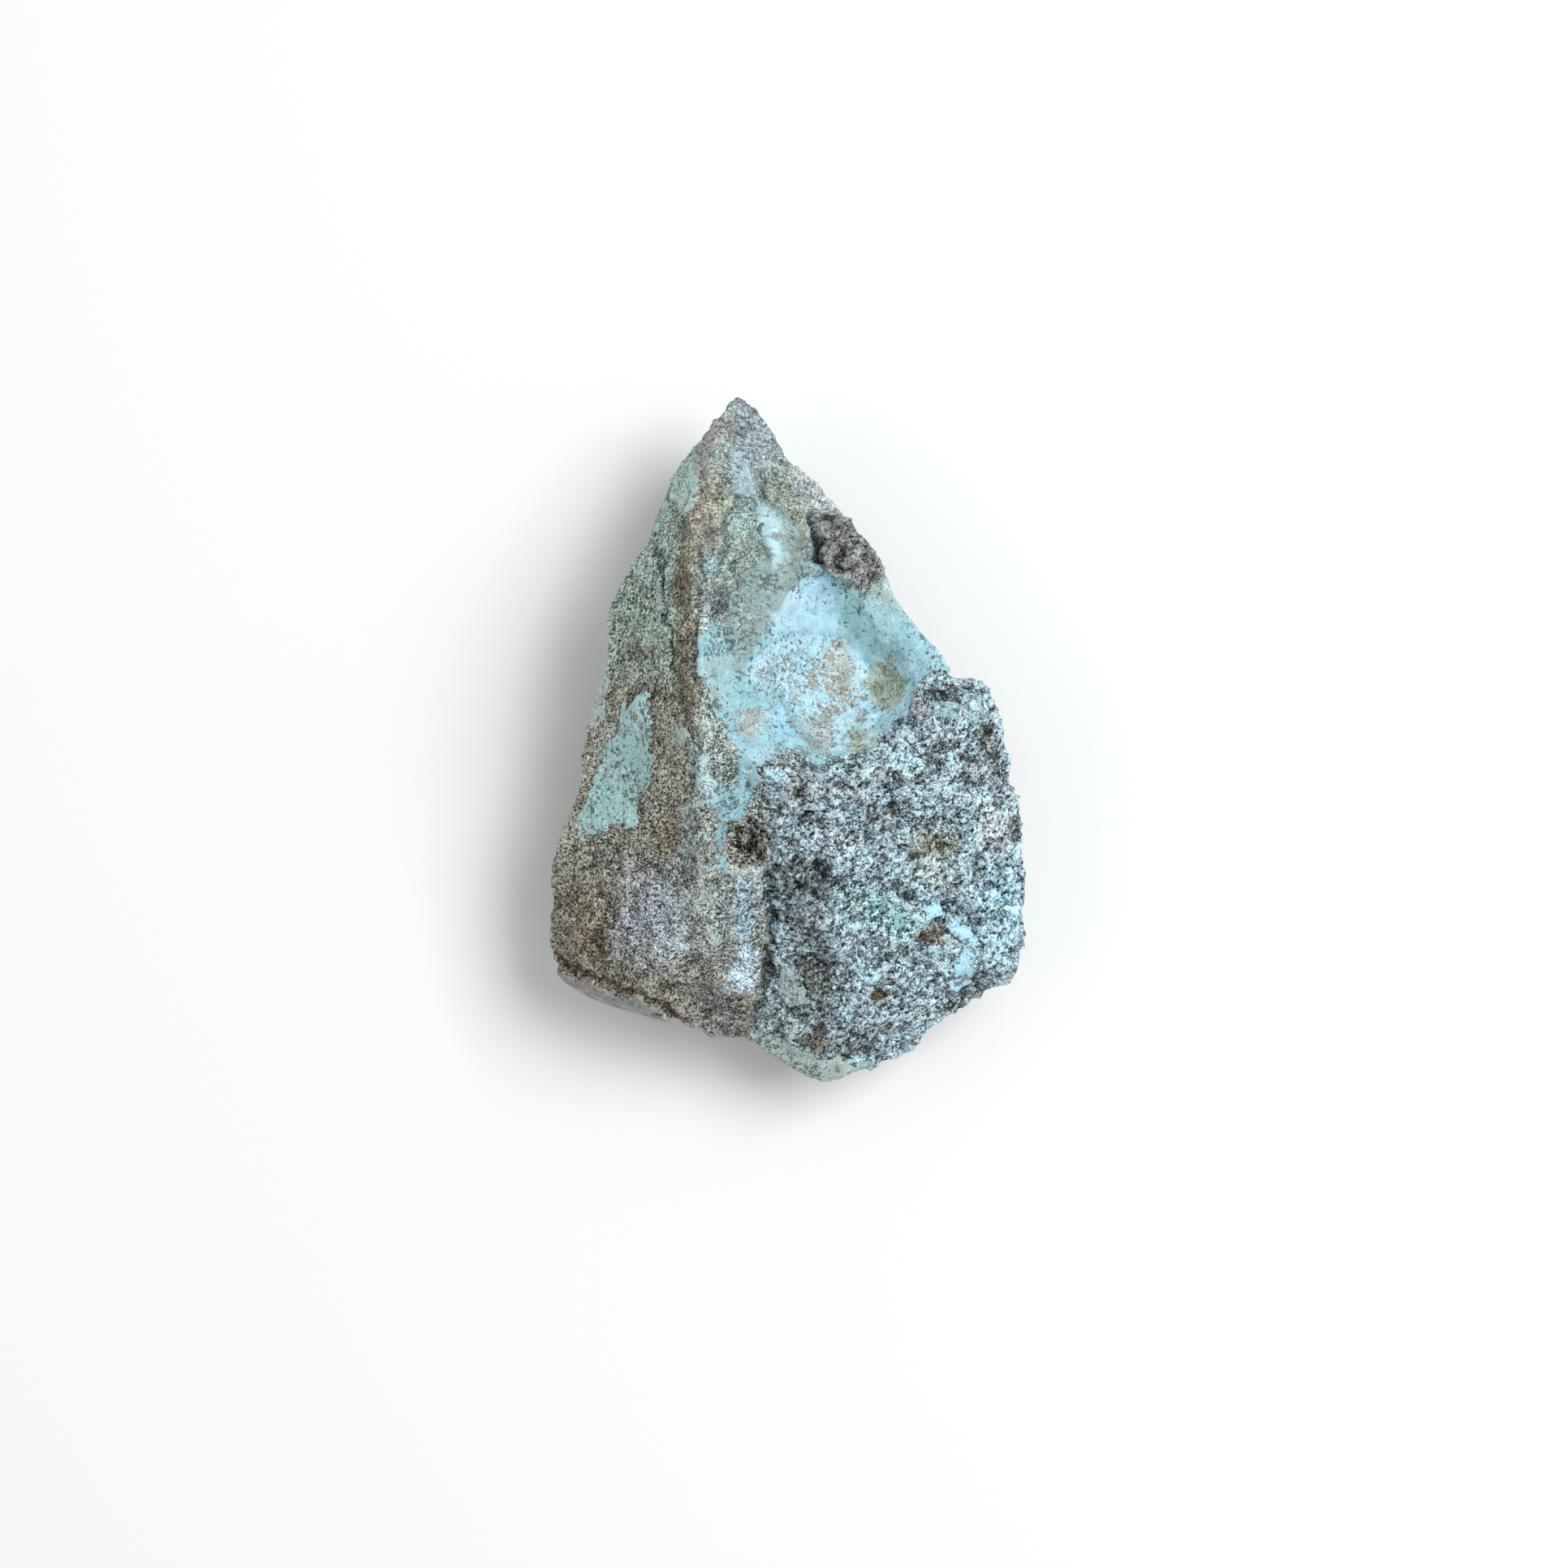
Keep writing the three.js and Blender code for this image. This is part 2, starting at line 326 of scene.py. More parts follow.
def oval(middle, half, turn=0.0, firm=0.4):
    """1 in the middle of an oval and 0 at its frayed edge, fading from `firm` outwards."""
    away = from_above - np.array(middle, float)
    c, s = np.cos(np.radians(turn)), np.sin(np.radians(turn))
    along = (away[:, 0] * c + away[:, 1] * s) / half[0]
    across = (away[:, 1] * c - away[:, 0] * s) / half[1]
    return 1 - step_up(np.hypot(along, across) + FRAY, firm, 1.25)


def crack(line, width):
    """1 in the middle of a line through some spots, fading to 0 at `width` mm from it."""
    spots = np.array(line, float)
    away = np.full(len(from_above), np.inf)
    for a, b in zip(spots[:-1], spots[1:]):
        away = np.minimum(away, off_line(a, b, from_above))
    return 1 - step_up(away, 0, width)


print("most fraying of an oval:", round(float(np.abs(FRAY).max()), 2))


# %% [markdown]
# ## The parts of the upper side
# A long ridge runs down from the point. Left of it the faces are steep, and below them
# sits a rounded lobe. Right of it lie the granular slab and, above the slab, the hollow
# that holds the best turquoise. These soft areas steer how rough the surface is and
# which colours it starts from.

# %% Ridge, left side, lobe, slab and knob
RIDGE = [(-6.2, 41.6), (-9.3, 31.0), (-11.2, 22.0), (-11.0, 6.0), (-10.4, -7.0), (-11.5, -14.0)]
LOBE = [(-30, -13.5), (-23, -13), (-16, -15), (-9, -16), (-5.5, -14.5), (-2.8, -18),
        (-2.4, -27), (-4.0, -37), (-9, -38), (-31, -33)]
SLAB = [(19.0, 8.6), (14.2, 3.6), (11.3, 0.0), (5.5, -2.6), (1.5, -1.9), (-2.4, -3.4),
        (-2.6, -8), (-2.8, -18), (-2.2, -27), (-3.4, -38), (4, -44), (16, -44), (34, -30),
        (33, -8), (26, 9)]
KNOB = [(3.0, 26.0), (4.6, 27.2), (7.4, 26.4), (10.0, 24.4), (12.6, 21.8), (12.4, 19.4),
        (9.4, 17.4), (6.9, 18.3), (5.3, 20.0), (3.6, 21.7)]
WEDGE_START = (14.0, 19.0)

ridge_x = np.interp(from_above[:, 1], *np.array(RIDGE)[::-1, ::-1].T)
left_side = step_up(ridge_x - from_above[:, 0], 0.2, 1.6) * upper
on_slab = step_up(inside(SLAB, from_above), -0.5, 0.5) * upper
on_lobe = step_up(inside(LOBE, from_above), -1.2, 1.2) * upper
on_knob = step_up(inside(KNOB, from_above), -0.4, 0.4) * upper
left_side = left_side * (1 - on_lobe)
on_wedge = upper * (1 - left_side) * (1 - on_slab) * (1 - on_lobe) * (1 - on_knob)
on_wedge = on_wedge * step_up(from_above[:, 1], *WEDGE_START)
print("slab", round(float(on_slab.mean()), 3), "lobe", round(float(on_lobe.mean()), 3),
      "left", round(float(left_side.mean()), 3))

# %% [markdown]
# ## Where turquoise coats the rock
# The blue mineral fills the hollow, runs down from it like drips, and lies in separate
# skins on the left face and on the slab. Each is an outline, and so are the few holes
# where rock shows. They are kept as one distance: positive on turquoise, negative off it.

# %% Outlines of the turquoise skins
SKINS = {
    "left_patch": [(-17.4, 5.8), (-16.3, 5.2), (-16.1, 1.8), (-16, -4), (-16.8, -6.4),
        (-17.6, -9.6), (-19.6, -11.6), (-19.9, -10.2), (-21.6, -10.1), (-22, -11.2), (-24.4, -11.2),
        (-25.6, -12.8), (-25, -9.8), (-23.8, -6.8), (-22, -2.2), (-20.4, 1), (-19.5, 3.6),
        (-18.4, 4.8)],
    "hollow": [(-10.6, 11.3), (-9.8, 5.9), (-7.6, 2), (-5.8, -1.9), (-4.9, -4.2), (-3.9, -6.6),
        (-2.9, -3.4), (-0.5, -0.7), (1.5, -1.9), (3.4, -3.4), (4.9, -2.6), (8.6, -1.7), (9.8, -1.6),
        (11.3, 0.4), (14.2, 3.4), (15.4, 5.6), (17.6, 7.6), (21, 8), (20, 13), (13.4, 21.4), (11.2, 18),
        (9.2, 17.2), (6.9, 17.9), (4.9, 19.6), (3.6, 21.4), (1.9, 23.6), (-0.4, 26), (-2.6, 27.2),
        (-3.3, 25.4), (-2.6, 21.2), (-4.9, 18.9), (-6.9, 17.1), (-7.4, 13.6), (-9, 12.6)],
    "drip": [(-5.4, -1.5), (-4.4, -7), (-5.4, -9.5), (-6.9, -12), (-7.3, -15.6), (-8.4, -15.3),
        (-8.8, -11.4), (-8, -8.6), (-9.4, -8.3), (-10.4, -5.4), (-10.3, -1.9), (-8.9, -1.1),
        (-8.6, -4.2), (-6.9, -6.2), (-6.6, -3.6)],
    "green_patch": [(-9.6, 34.1), (-11.6, 33.6), (-13.7, 31.9), (-14.4, 29.6), (-13, 27.5),
        (-12, 25.4), (-10.8, 27.5), (-10, 30.4)],
    "green_edge": [(-15.9, 24.8), (-14.4, 28.6), (-13.6, 28), (-14.7, 25.2)],
    "green_streak": [(-16, 19), (-15, 18.4), (-14.3, 14.6), (-15.2, 14.2)],
    "left_edge": [(-21.2, 7.4), (-21, 5.8), (-22.6, 2.9), (-23.4, 0.6), (-24.6, 1.6), (-23.4, 5.6),
        (-22.3, 7.4)],
    "left_mark": [(-12.9, 1.5), (-12, 2.3), (-11.7, -0.7), (-12.7, -1)],
    "slab_blue_a": [(19.4, -21.4), (21.2, -21.8), (22.9, -24.4), (23.1, -25.6), (21.4, -25.2),
        (19.9, -23.6)],
    "slab_blue_b": [(21, -25.9), (22.6, -25.8), (22.4, -28.4), (21, -31), (20.2, -30.6),
        (20.4, -28)],
    "slab_blue_c": [(16.2, -20.6), (17.4, -19.9), (19.4, -20.4), (19, -21.5), (17, -21.6)],
    "slab_blue_d": [(16.4, -25.9), (17.4, -25.1), (19.4, -25.4), (19, -26.2), (17, -26.3)],
    "slab_blue_e": [(11.9, -21.6), (13.2, -20.9), (13.8, -22.4), (12.6, -23)],
    "foot_patch": [(-4.6, -35.6), (-1.4, -35.4), (0.8, -36.7), (3.2, -38.5), (7, -39.7),
        (10.6, -40), (7.4, -41.8), (3.2, -42.4), (-1.4, -40.4), (-5, -38)],
    "foot_pale": [(-1.2, -28), (0.2, -27.6), (1.6, -29.4), (2.2, -31.6), (0.4, -32.4), (-1, -31)],
    "spur_bits": [(16.8, 4.4), (18.2, 4.9), (20.4, 3.6), (20.8, 5.9), (22.8, 5), (24.2, 2),
        (22.6, 1.2), (21.2, 2.2), (19, 2.6), (17, 3.4)],
    "crust_strip": [(-29.6, -25.8), (-27.6, -27.9), (-25.3, -29.1), (-22.5, -29.5), (-20.1, -30.6),
        (-16.8, -31.6), (-14.6, -33.2), (-13.2, -36.5), (-30, -36)],
    "point_lilac": [(-6.8, 34.4), (-4.9, 34), (-3.8, 31.8), (-3.2, 29), (-3.6, 27.6), (-5.6, 27.9),
        (-6.6, 30.2), (-7.2, 32.4)],
    "teal_streak": [(-4.6, 27.4), (-2.8, 28.2), (-0.6, 27), (0.6, 24.4), (2.6, 21.4), (0.4, 20.2),
        (-1.4, 21.6), (-2.4, 24), (-3.6, 25.4)],
    "point_rim": [(-7.2, 40.3), (-6.2, 38.2), (-7.4, 36.4), (-8.8, 34.2), (-9.6, 32), (-10.8, 34.6),
        (-9, 38)],
}
HOLES = {
    "tan_inclusion": [(-8.3, -0.9), (-6.9, -0.1), (-5.6, -1.4), (-5.5, -4.4), (-6.7, -5.4),
        (-8, -3.9)],
    "ochre_strip": [(-0.2, 28.8), (1.4, 26.6), (2, 24), (2.4, 21.6), (1.2, 22.6), (0.6, 25),
        (-0.6, 27.2)],
    "brown_squiggles": [(-4.6, 23.4), (-2.8, 23.2), (-2.2, 21.4), (-2.8, 20.2), (-4.6, 20.8)],
    "brown_tongue": [(0.6, -1.2), (-0.6, -2.2), (1, -3.6), (3, -3.6), (2.4, -2)],
}

FAR_OUTSIDE = -9.0
MOST_REACH = 4
BELLY_LUMP = 13

skin_reach = np.full(len(from_above), FAR_OUTSIDE)
for outline in SKINS.values():
    skin_reach = np.maximum(skin_reach, inside(outline, from_above))
for outline in HOLES.values():
    skin_reach = np.minimum(skin_reach, -inside(outline, from_above))
belly_skin = lumps(smooth_points, BELLY_LUMP, 3, 41) * 6 - 2.6
skin_reach = skin_reach * upper + belly_skin * (1 - upper) * (1 - resting)
skin_reach = np.clip(skin_reach, -MOST_REACH, MOST_REACH)
skinned = step_up(skin_reach, -0.3, 0.3)
in_hollow = step_up(inside(SKINS["hollow"], from_above), -0.5, 0.8) * upper
print("coated share:", round(float(skinned.mean()), 3))

# %% [markdown]
# ## Small relief
# Real height gives a broken surface its truth: bump alone looks flat from the side.
# Grains on the slab stand about half a millimetre proud of dark gaps, the knob is
# rougher still, the left face is gentler, and turquoise lies smooth with soft ripples,
# though on the slab it takes some of the grain. The heights are added up per point and
# pushed along the surface direction.

# %% Heights of grains, chips and ripples
CLUMP = 1.15
GRAIN = 0.66
GAP_SPACING = 1.3
CHIP = 4.2
RIPPLE = 3.2
SWELL = 2.6

clumps = lumps(smooth_points, CLUMP, 3, 1)
grains = lumps(smooth_points, GRAIN, 2, 2)
gaps = creases(smooth_points, GAP_SPACING, 2, 3)
chips = np.abs(lumps(smooth_points, CHIP, 3, 4))
ripples = lumps(smooth_points, RIPPLE, 2, 5)
bare = 1 - skinned

rough = 0.5 + 0.65 * on_slab + 0.06 * on_lobe + 0.5 * on_knob - 0.14 * left_side
height = bare * rough * (0.15 * clumps + 0.28 * grains - 0.18 * gaps)
height += bare * (0.60 - 0.3 * left_side) * (chips - 0.35)
height += bare * (0.18 + 0.32 * on_slab + 0.25 * on_knob) * lumps(smooth_points, SWELL, 2, 6)
height += skinned * (0.10 * ripples + 0.05 * clumps + 0.06)
height += skinned * (1 - in_hollow) * 0.10
height += skinned * (on_slab + 0.4 * on_wedge) * (0.14 * grains + 0.12 * clumps - 0.1)
print("relief, mm:", round(float(height.min()), 2), "to", round(float(height.max()), 2))

# %% [markdown]
# ## Marks with a shape of their own
# Some features are too particular for noise: the fibrous rib on the ridge with a step
# on its right, the cracks and low crests under the point, the dark pit, the broken facet
# edges in the hollow, and the fold under the lobe. Each is a line or an oval with a
# depth. The rim's edge and the wall's foot have none, and later only take a painted
# highlight and a painted shade.

# %% Rib, cracks, pit and lip
RIB = [(-10.2, 30.0), (-11.4, 24.0), (-11.9, 18.0), (-11.6, 11.0), (-11.5, 5.0), (-11.2, 1.0)]
RIB_STEP = [(-9.9, 22.0), (-10.4, 14.0), (-10.5, 9.0), (-10.4, 5.0)]
LEFT_CRACK = [(-15.2, 22.5), (-14.6, 18.0), (-14.4, 14.5), (-13.4, 10.5), (-12.7, 7.4)]
KNOB_CRACK = [(3.2, 27.0), (3.1, 24.0), (3.6, 21.2)]
KNOB_SPLIT = [(6.2, 22.4), (5.6, 20.4), (7.4, 19.6)]
ARC_CRACK = [(12.5, -17.6), (15.7, -19.4), (18.4, -20.2), (20.6, -21.6), (23.4, -25.2)]
CREASE = [(-2.2, -14.5), (-2.0, -20.0), (-2.4, -26.0), (-2.9, -31.0), (-3.9, -36.0)]
LOBE_LIP = [(-28.4, -25.9), (-27.2, -27.4), (-25.2, -28.5), (-22.5, -28.8), (-20.1, -29.9),
            (-16.7, -30.9), (-14.7, -32.4), (-12.9, -34.0)]
FACET_EDGE = [(5.6, 17.2), (5.3, 14.4), (6.9, 12.3), (10.8, 9.0), (14.2, 8.2)]
RIM_FACET = [(9.6, 16.6), (11.6, 12.4), (14.6, 9.4), (15.8, 6.6)]
WEDGE_CRESTS = [[(-2.6, 32.2), (-0.6, 32.7), (1.6, 32.0), (3.6, 30.0)],
                [(-8.6, 38.0), (-8.4, 34.6), (-8.8, 31.0), (-7.6, 28.4)],
                [(2.2, 29.6), (1.2, 27.4), (1.6, 25.0), (2.8, 22.8)],
                [(-4.6, 28.2), (-2.8, 27.4), (-1.6, 25.6), (-1.9, 23.6), (-0.4, 21.6)]]
WEDGE_CRACKS = [[(-3.4, 25.6), (-2.9, 23.4), (-2.2, 21.4), (-0.8, 20.0)],
                [(-6.2, 28.6), (-7.2, 25.6), (-7.0, 22.6), (-7.8, 20.6)],
                [(-2.9, 31.8), (-2.8, 30.4), (-2.6, 28.8)],
                [(-6.6, 20.2), (-5.8, 17.8), (-6.4, 15.0)]]
RIM_EDGE = [(11.6, 18.8), (13.6, 16.0), (15.9, 13.0), (18.0, 10.4), (19.6, 8.6)]
WALL_FOOT = [(8.8, 11.9), (10.4, 10.4), (12.4, 9.5), (14.2, 9.0)]
FLOOR_CREASE = [(-1.4, 6.2), (-0.5, 4.4), (1.2, 1.6), (2.9, -1.0)]
PIT = (-4.9, -12.5)
HOLES_DEEP = [((-8.0, 19.4), (0.6, 0.5), 1.0), ((-22.2, -24.4), (1.0, 2.2), 0.5),
              (PIT, (3.0, 3.0), 0.7), ((1.4, -17.3), (0.9, 1.3), 0.7),
              ((3.8, -16.0), (0.8, 2.4), 0.7), ((12.3, -8.8), (1.2, 1.0), 0.6),
              ((17.2, -3.4), (1.3, 1.0), 0.6), ((-2.4, -27.0), (0.7, 1.6), 0.6)]

height += 0.22 * crack(RIB, 1.6) * upper
height -= 0.36 * crack(RIB_STEP, 0.6) * upper
for line, width, depth in [(LEFT_CRACK, 0.6, 0.45), (KNOB_CRACK, 0.9, 2.0),
                           (KNOB_SPLIT, 0.8, 1.4), (ARC_CRACK, 0.6, 0.6),
                           (CREASE, 1.3, 0.6), (LOBE_LIP, 0.9, 0.8),
                           (FACET_EDGE, 0.9, -0.22), (RIM_FACET, 0.9, -0.25),
                           (FLOOR_CREASE, 0.9, 0.25)]:
    height -= depth * crack(line, width) * upper
for line in WEDGE_CRACKS:
    height -= 0.4 * crack(line, 0.6) * upper
for line in WEDGE_CRESTS:
    height += 0.35 * crack(line, 1.3) * upper
for middle, half, depth in HOLES_DEEP:
    height -= depth * oval(middle, half) * upper
pit_strands = creases(smooth_points * (1, 0.45, 1), 1.2, 2, 9)
in_pit = oval(PIT, (3.0, 3.2)) * upper
height += in_pit * 0.8 * (pit_strands - 0.4)
height = np.where(resting > 0, np.minimum(height, 0) * (1 - resting) - 0.25 * resting, height)

points = smooth_points + facing * height[:, None]
points = np.clip(points, low, high)
resting_low = resting > 0.98
points[resting_low, 2] = np.maximum(0, 0.35 * np.maximum(0, -clumps[resting_low] - 0.15))
move_points(stone.data, points)
stone.data.polygons.foreach_set("use_smooth", [True] * len(stone.data.polygons))
print("stone now, mm:", np.round(points.max(0) - points.min(0), 2))

# %% [markdown]
# ## How deep each point lies
# Gaps between grains are painted darker, as painted shade where light reaches less, and
# crests paler, partly as wear. Comparing a point with the mean of its surroundings gives
# that depth, at two sizes, for the material to use.

# %% Crests and gaps
NEAR_ROUNDS = 2
WIDE_ROUNDS = 30


def stand_out(points, rounds):
    """How far in mm a point stands out from its surroundings; negative in a gap."""
    around = smoothed(points, edges, rounds)
    return np.einsum("ij,ij->i", points - around, facing)


gap_shade_and_crest_wear = stand_out(points, NEAR_ROUNDS) * 9 + stand_out(points, WIDE_ROUNDS) * 2.0
gap_shade_and_crest_wear = np.clip(gap_shade_and_crest_wear, -1, 1)
print("crests and gaps:", round(float(np.std(gap_shade_and_crest_wear)), 3))

# %% [markdown]
# ## Mineral colours
# Colours are written as they look in full light, from 0 to 255 for red, green and
# blue, and turned into the linear values that Blender mixes. A wash lays one colour
# over an oval of the stone, with an uneven edge. A later wash covers an earlier one.
# A row gives the oval's middle, its half width and height, the colour, the amount, and
# last the oval's turn in degrees, if it has one.

# %% A wash of colour
WASH_EDGE = 0.22
SOFT_WASH = 0.15


def mineral(red, green, blue):
    """A linear colour from the usual 0 to 255 values."""
    share = np.array([red, green, blue]) / 255
    return np.where(share <= 0.04045, share / 12.92, ((share + 0.055) / 1.055) ** 2.4)


def wash(colours, amount, colour):
    """Lays a colour over the others by an amount from 0 to 1 at each point."""
    return colours + amount[:, None] * (mineral(*colour) - colours)


def filled(outline, edge=WASH_EDGE):
    """1 inside an outline and 0 outside it, changing over `edge` mm either way."""
    return step_up(inside(outline, nearly_straight), -edge, edge)


print("mid grey, linear:", np.round(mineral(128, 128, 128), 3))


# %% [markdown]
# ## The host rock
# The slab is bluish grey, the left side tan with a grey-green upper end, the lobe runs
# from brown through lilac grey to a pale blue flank, and grey rock with pink and tan
# stains covers the point. Each part gets a base colour, then its washes, and then its
# cracks, steps and the lip are painted dark, partly their own dark fill and partly painted
# shade in them. The belly is brown and grey with a little blue.

# %% Washes on the host rock
ROCK_WASHES = [
    # the point and the upper right
    ((-10.6, 26), (1.8, 5.4), (148, 143, 131), 0.8), ((-4, 37), (5.4, 6), (150, 163, 170), 1),
    ((-5, 40.8), (2.5, 2), (120, 128, 130), 0.7), ((3, 29), (5, 4), (184, 192, 196), 0.9, -40),
    ((-1.2, 29.6), (2.6, 3.4), (150, 160, 144), 0.9, -20),
    ((1, 25.4), (1.6, 4.6), (158, 162, 148), 0.95, 8), ((-7.8, 36.4), (2, 2.6), (158, 172, 164), 0.8),
    ((-9, 29.6), (1.6, 3.6), (152, 146, 134), 0.9, -8), ((-8, 26.8), (1.8, 2.2), (166, 176, 150), 0.9),
    ((-8.8, 23.6), (2.4, 3.2), (152, 148, 142), 1), ((-5.6, 22), (2.2, 3.6), (150, 164, 156), 0.8),
    ((-3.6, 22), (1.2, 1.8), (136, 140, 128), 0.9), ((-8.2, 15.8), (2.2, 2.8), (112, 122, 124), 0.95),
    ((-9, 20.2), (1.6, 1.5), (148, 178, 184), 0.9), ((-4.4, 26), (2.8, 3.4), (156, 186, 184), 0.9, 10),
    ((-5.2, 31.4), (2.2, 4.2), (168, 186, 194), 0.9, 10),
    ((-3.6, 20.2), (4.6, 2.2), (148, 172, 166), 0.9, -15),
    # rock that shows through the turquoise in the hollow
    ((2.6, 7.4), (8.4, 7.6), (188, 203, 206), 1, -20), ((6, 6.8), (4.4, 6.4), (190, 184, 172), 0.9, 15),
    ((-4.4, 2.2), (2.2, 2.6), (188, 180, 170), 0.9, 20),
    ((11.9, 6.2), (2.8, 3.8), (166, 174, 148), 0.95, -10),
    ((8.9, -0.6), (2.8, 1.8), (170, 172, 146), 0.9, 20), ((4.2, 0), (2.2, 2.4), (168, 166, 158), 0.8),
    # the slab
    ((2.2, -20), (3.8, 11), (119, 126, 129), 0.75, 8), ((3, -30), (3.4, 5), (118, 124, 120), 0.6),
    ((17.6, -12.7), (3.4, 2.6), (134, 132, 112), 0.9),
    ((24.9, -10.8), (2.6, 4.4), (180, 184, 190), 0.8), ((25.8, -19.5), (4, 6.6), (162, 202, 220), 0.85),
    ((10.6, -20.4), (6, 3), (152, 194, 198), 0.9, -20), ((8, -9), (5, 4), (160, 176, 182), 0.5),
    ((17.9, -15.8), (3.4, 2.4), (188, 206, 202), 1), ((1, -5.5), (2.6, 3), (124, 122, 118), 0.8),
    ((23.5, -2), (2.5, 4.5), (142, 144, 144), 0.7), ((16.5, -24), (1.2, 1), (112, 92, 62), 0.95),
    ((11.2, -30.5), (2.2, 1.6), (122, 110, 80), 0.95), ((6, -37), (5, 3.6), (126, 135, 135), 0.8),
    ((3.7, -36.4), (2.6, 2), (112, 98, 80), 0.9), ((18.4, -23.4), (1.8, 2.2), (128, 120, 102), 0.9),
    # The first wash here is a painted shadow: the spur's short step facing the point is painted dark
    # grey.
    ((19, 5.6), (1.8, 1.2), (92, 100, 104), 0.9), ((15.6, 3.8), (1.2, 1.6), (160, 132, 140), 0.7),
    ((23, -30), (4, 2.5), (120, 130, 130), 0.6, 30), ((5.2, -12.2), (3.4, 2.2), (190, 206, 214), 0.9),
    ((17, -33), (3.6, 3.2), (172, 194, 202), 0.8), ((-0.4, -34.4), (2.6, 1.6), (150, 158, 146), 0.8),
    # the lobe
    ((-24, -23.5), (6.2, 7), (141, 132, 114), 1), ((-15.4, -21.5), (6.4, 8.4), (168, 178, 186), 1),
    ((-8, -32.4), (5.4, 4.4), (117, 110, 111), 0.95, -20),
    ((-16, -30), (7, 2.4), (138, 132, 120), 0.8, -15), ((-8.6, -20.5), (4.2, 9), (152, 161, 158), 0.95),
    ((-4.9, -21), (2.2, 8), (150, 174, 184), 0.95), ((-8.2, -12), (2.4, 3.6), (160, 164, 158), 0.7),
    ((-22.2, -24.6), (1.6, 3), (118, 104, 82), 0.8), ((-27, -22), (1.6, 3), (104, 108, 104), 0.6),
    ((-11.4, 18.2), (1, 1.4), (96, 82, 64), 0.8), ((-18.4, 10.4), (2.6, 3.4), (140, 134, 120), 0.7, 20),
    ((-15.4, 19), (0.9, 4.2), (160, 196, 190), 0.8),
    ((-19.6, -12.7), (1.8, 0.9), (122, 100, 76), 0.7, 10),
    ((-14, -11.6), (3.4, 2.6), (142, 134, 108), 0.7), ((-5.4, -27.6), (2.4, 3.2), (206, 232, 250), 1),
    ((-4.9, -12.4), (3.6, 4), (176, 173, 158), 1),
]
GREEN_GREY = (164, 182, 170)
LEFT_TAN = (162, 161, 148)
RIB_BROWN = (126, 121, 105)
LOBE_BROWN = (150, 147, 136)
SLAB_GREY = (163, 187, 196)
WEDGE_GREY = (158, 172, 168)
KNOB_BROWN = (132, 134, 133)
BELLY_GREY = (150, 146, 136)
BELLY_BROWN = (124, 112, 94)
CRACK_DARKS_AND_PAINTED_SHADE = [
    (RIB_STEP, 0.6, (60, 58, 52), 0.5), (LEFT_CRACK, 0.45, (62, 70, 62), 0.65),
    (ARC_CRACK, 0.4, (58, 84, 90), 0.9), (CREASE, 1.1, (70, 88, 94), 0.6),
    (KNOB_CRACK, 0.7, (40, 84, 88), 0.9), (KNOB_SPLIT, 0.5, (52, 50, 48), 0.8),
    *[(line, 0.45, (88, 100, 92), 0.6) for line in WEDGE_CRACKS],
    (LOBE_LIP, 1.3, (118, 100, 86), 0.7),
]

rock_colour = np.tile(mineral(*WEDGE_GREY), (len(points), 1))
for share, colour in [(on_slab, SLAB_GREY), (left_side, LEFT_TAN), (on_lobe, LOBE_BROWN),
                      (left_side * step_up(from_above[:, 1], 5.0, 9.0), GREEN_GREY),
                      (left_side * oval((-17, 3), (2.4, 5)) * 0.5, RIB_BROWN),
                      (crack(RIB, 2.2) * upper, RIB_BROWN)]:
    rock_colour = wash(rock_colour, share, colour)
for middle, half, colour, amount, *turn in ROCK_WASHES:
    share = amount * oval(middle, half, *turn, firm=SOFT_WASH) * upper
    rock_colour = wash(rock_colour, share, colour)
rock_colour = wash(rock_colour, on_knob, KNOB_BROWN)
# Painted shade: cracks, the rib's step and the fold under the lobe are darkened, partly as their dark
# fill and partly as shade in them.
for line, width, colour, amount in CRACK_DARKS_AND_PAINTED_SHADE:
    rock_colour = wash(rock_colour, amount * crack(line, width) * upper, colour)
below = 1 - upper
rock_colour = wash(rock_colour, below, BELLY_GREY)
belly_stain = step_up(lumps(smooth_points, 16, 3, 50), -0.1, 0.35)
rock_colour = wash(rock_colour, below * belly_stain, BELLY_BROWN)
belly_blue = step_up(lumps(smooth_points, 11, 3, 53), 0.05, 0.4)
rock_colour = wash(rock_colour, below * belly_blue * 0.7, SLAB_GREY)
print("host rock mean:", np.round(rock_colour.mean(0), 3))

# %% [markdown]
# ## The turquoise itself
# Its colour isn't one blue. The sheltered wall is bright sky blue, the facet that faces
# away from the lamp darker teal, partly its own teal and partly painted shade, the ledge
# by the ridge greenish, the middle of the hollow stained pink, cream and ochre, and the
# separate skins are duller where they are weathered. Each skin is tinted first, out past
# its border, so no other blue fringes it. The large facets follow as outlines, then ovals,
# then the two crisp facets, then creases painted dark as painted shade and rims painted
# pale as painted highlights.

# %% Washes on the turquoise
SKIN_BLUE = (152, 194, 204)
SLAB_SKIN = (180, 227, 246)
SKIN_TINTS = {
    "left_patch": (170, 208, 208), "left_edge": (179, 193, 185), "left_mark": (173, 193, 181),
    "green_patch": (186, 216, 208), "green_edge": (172, 200, 194), "green_streak": (169, 187, 178),
    "point_lilac": (166, 190, 198), "point_rim": (178, 175, 169), "teal_streak": (152, 181, 178),
    "slab_blue_a": SLAB_SKIN, "slab_blue_b": SLAB_SKIN, "slab_blue_c": SLAB_SKIN,
    "slab_blue_d": SLAB_SKIN, "slab_blue_e": (150, 190, 190), "spur_bits": (150, 190, 194),
    "foot_patch": (170, 187, 181), "foot_pale": (176, 198, 194), "crust_strip": (145, 136, 129),
}
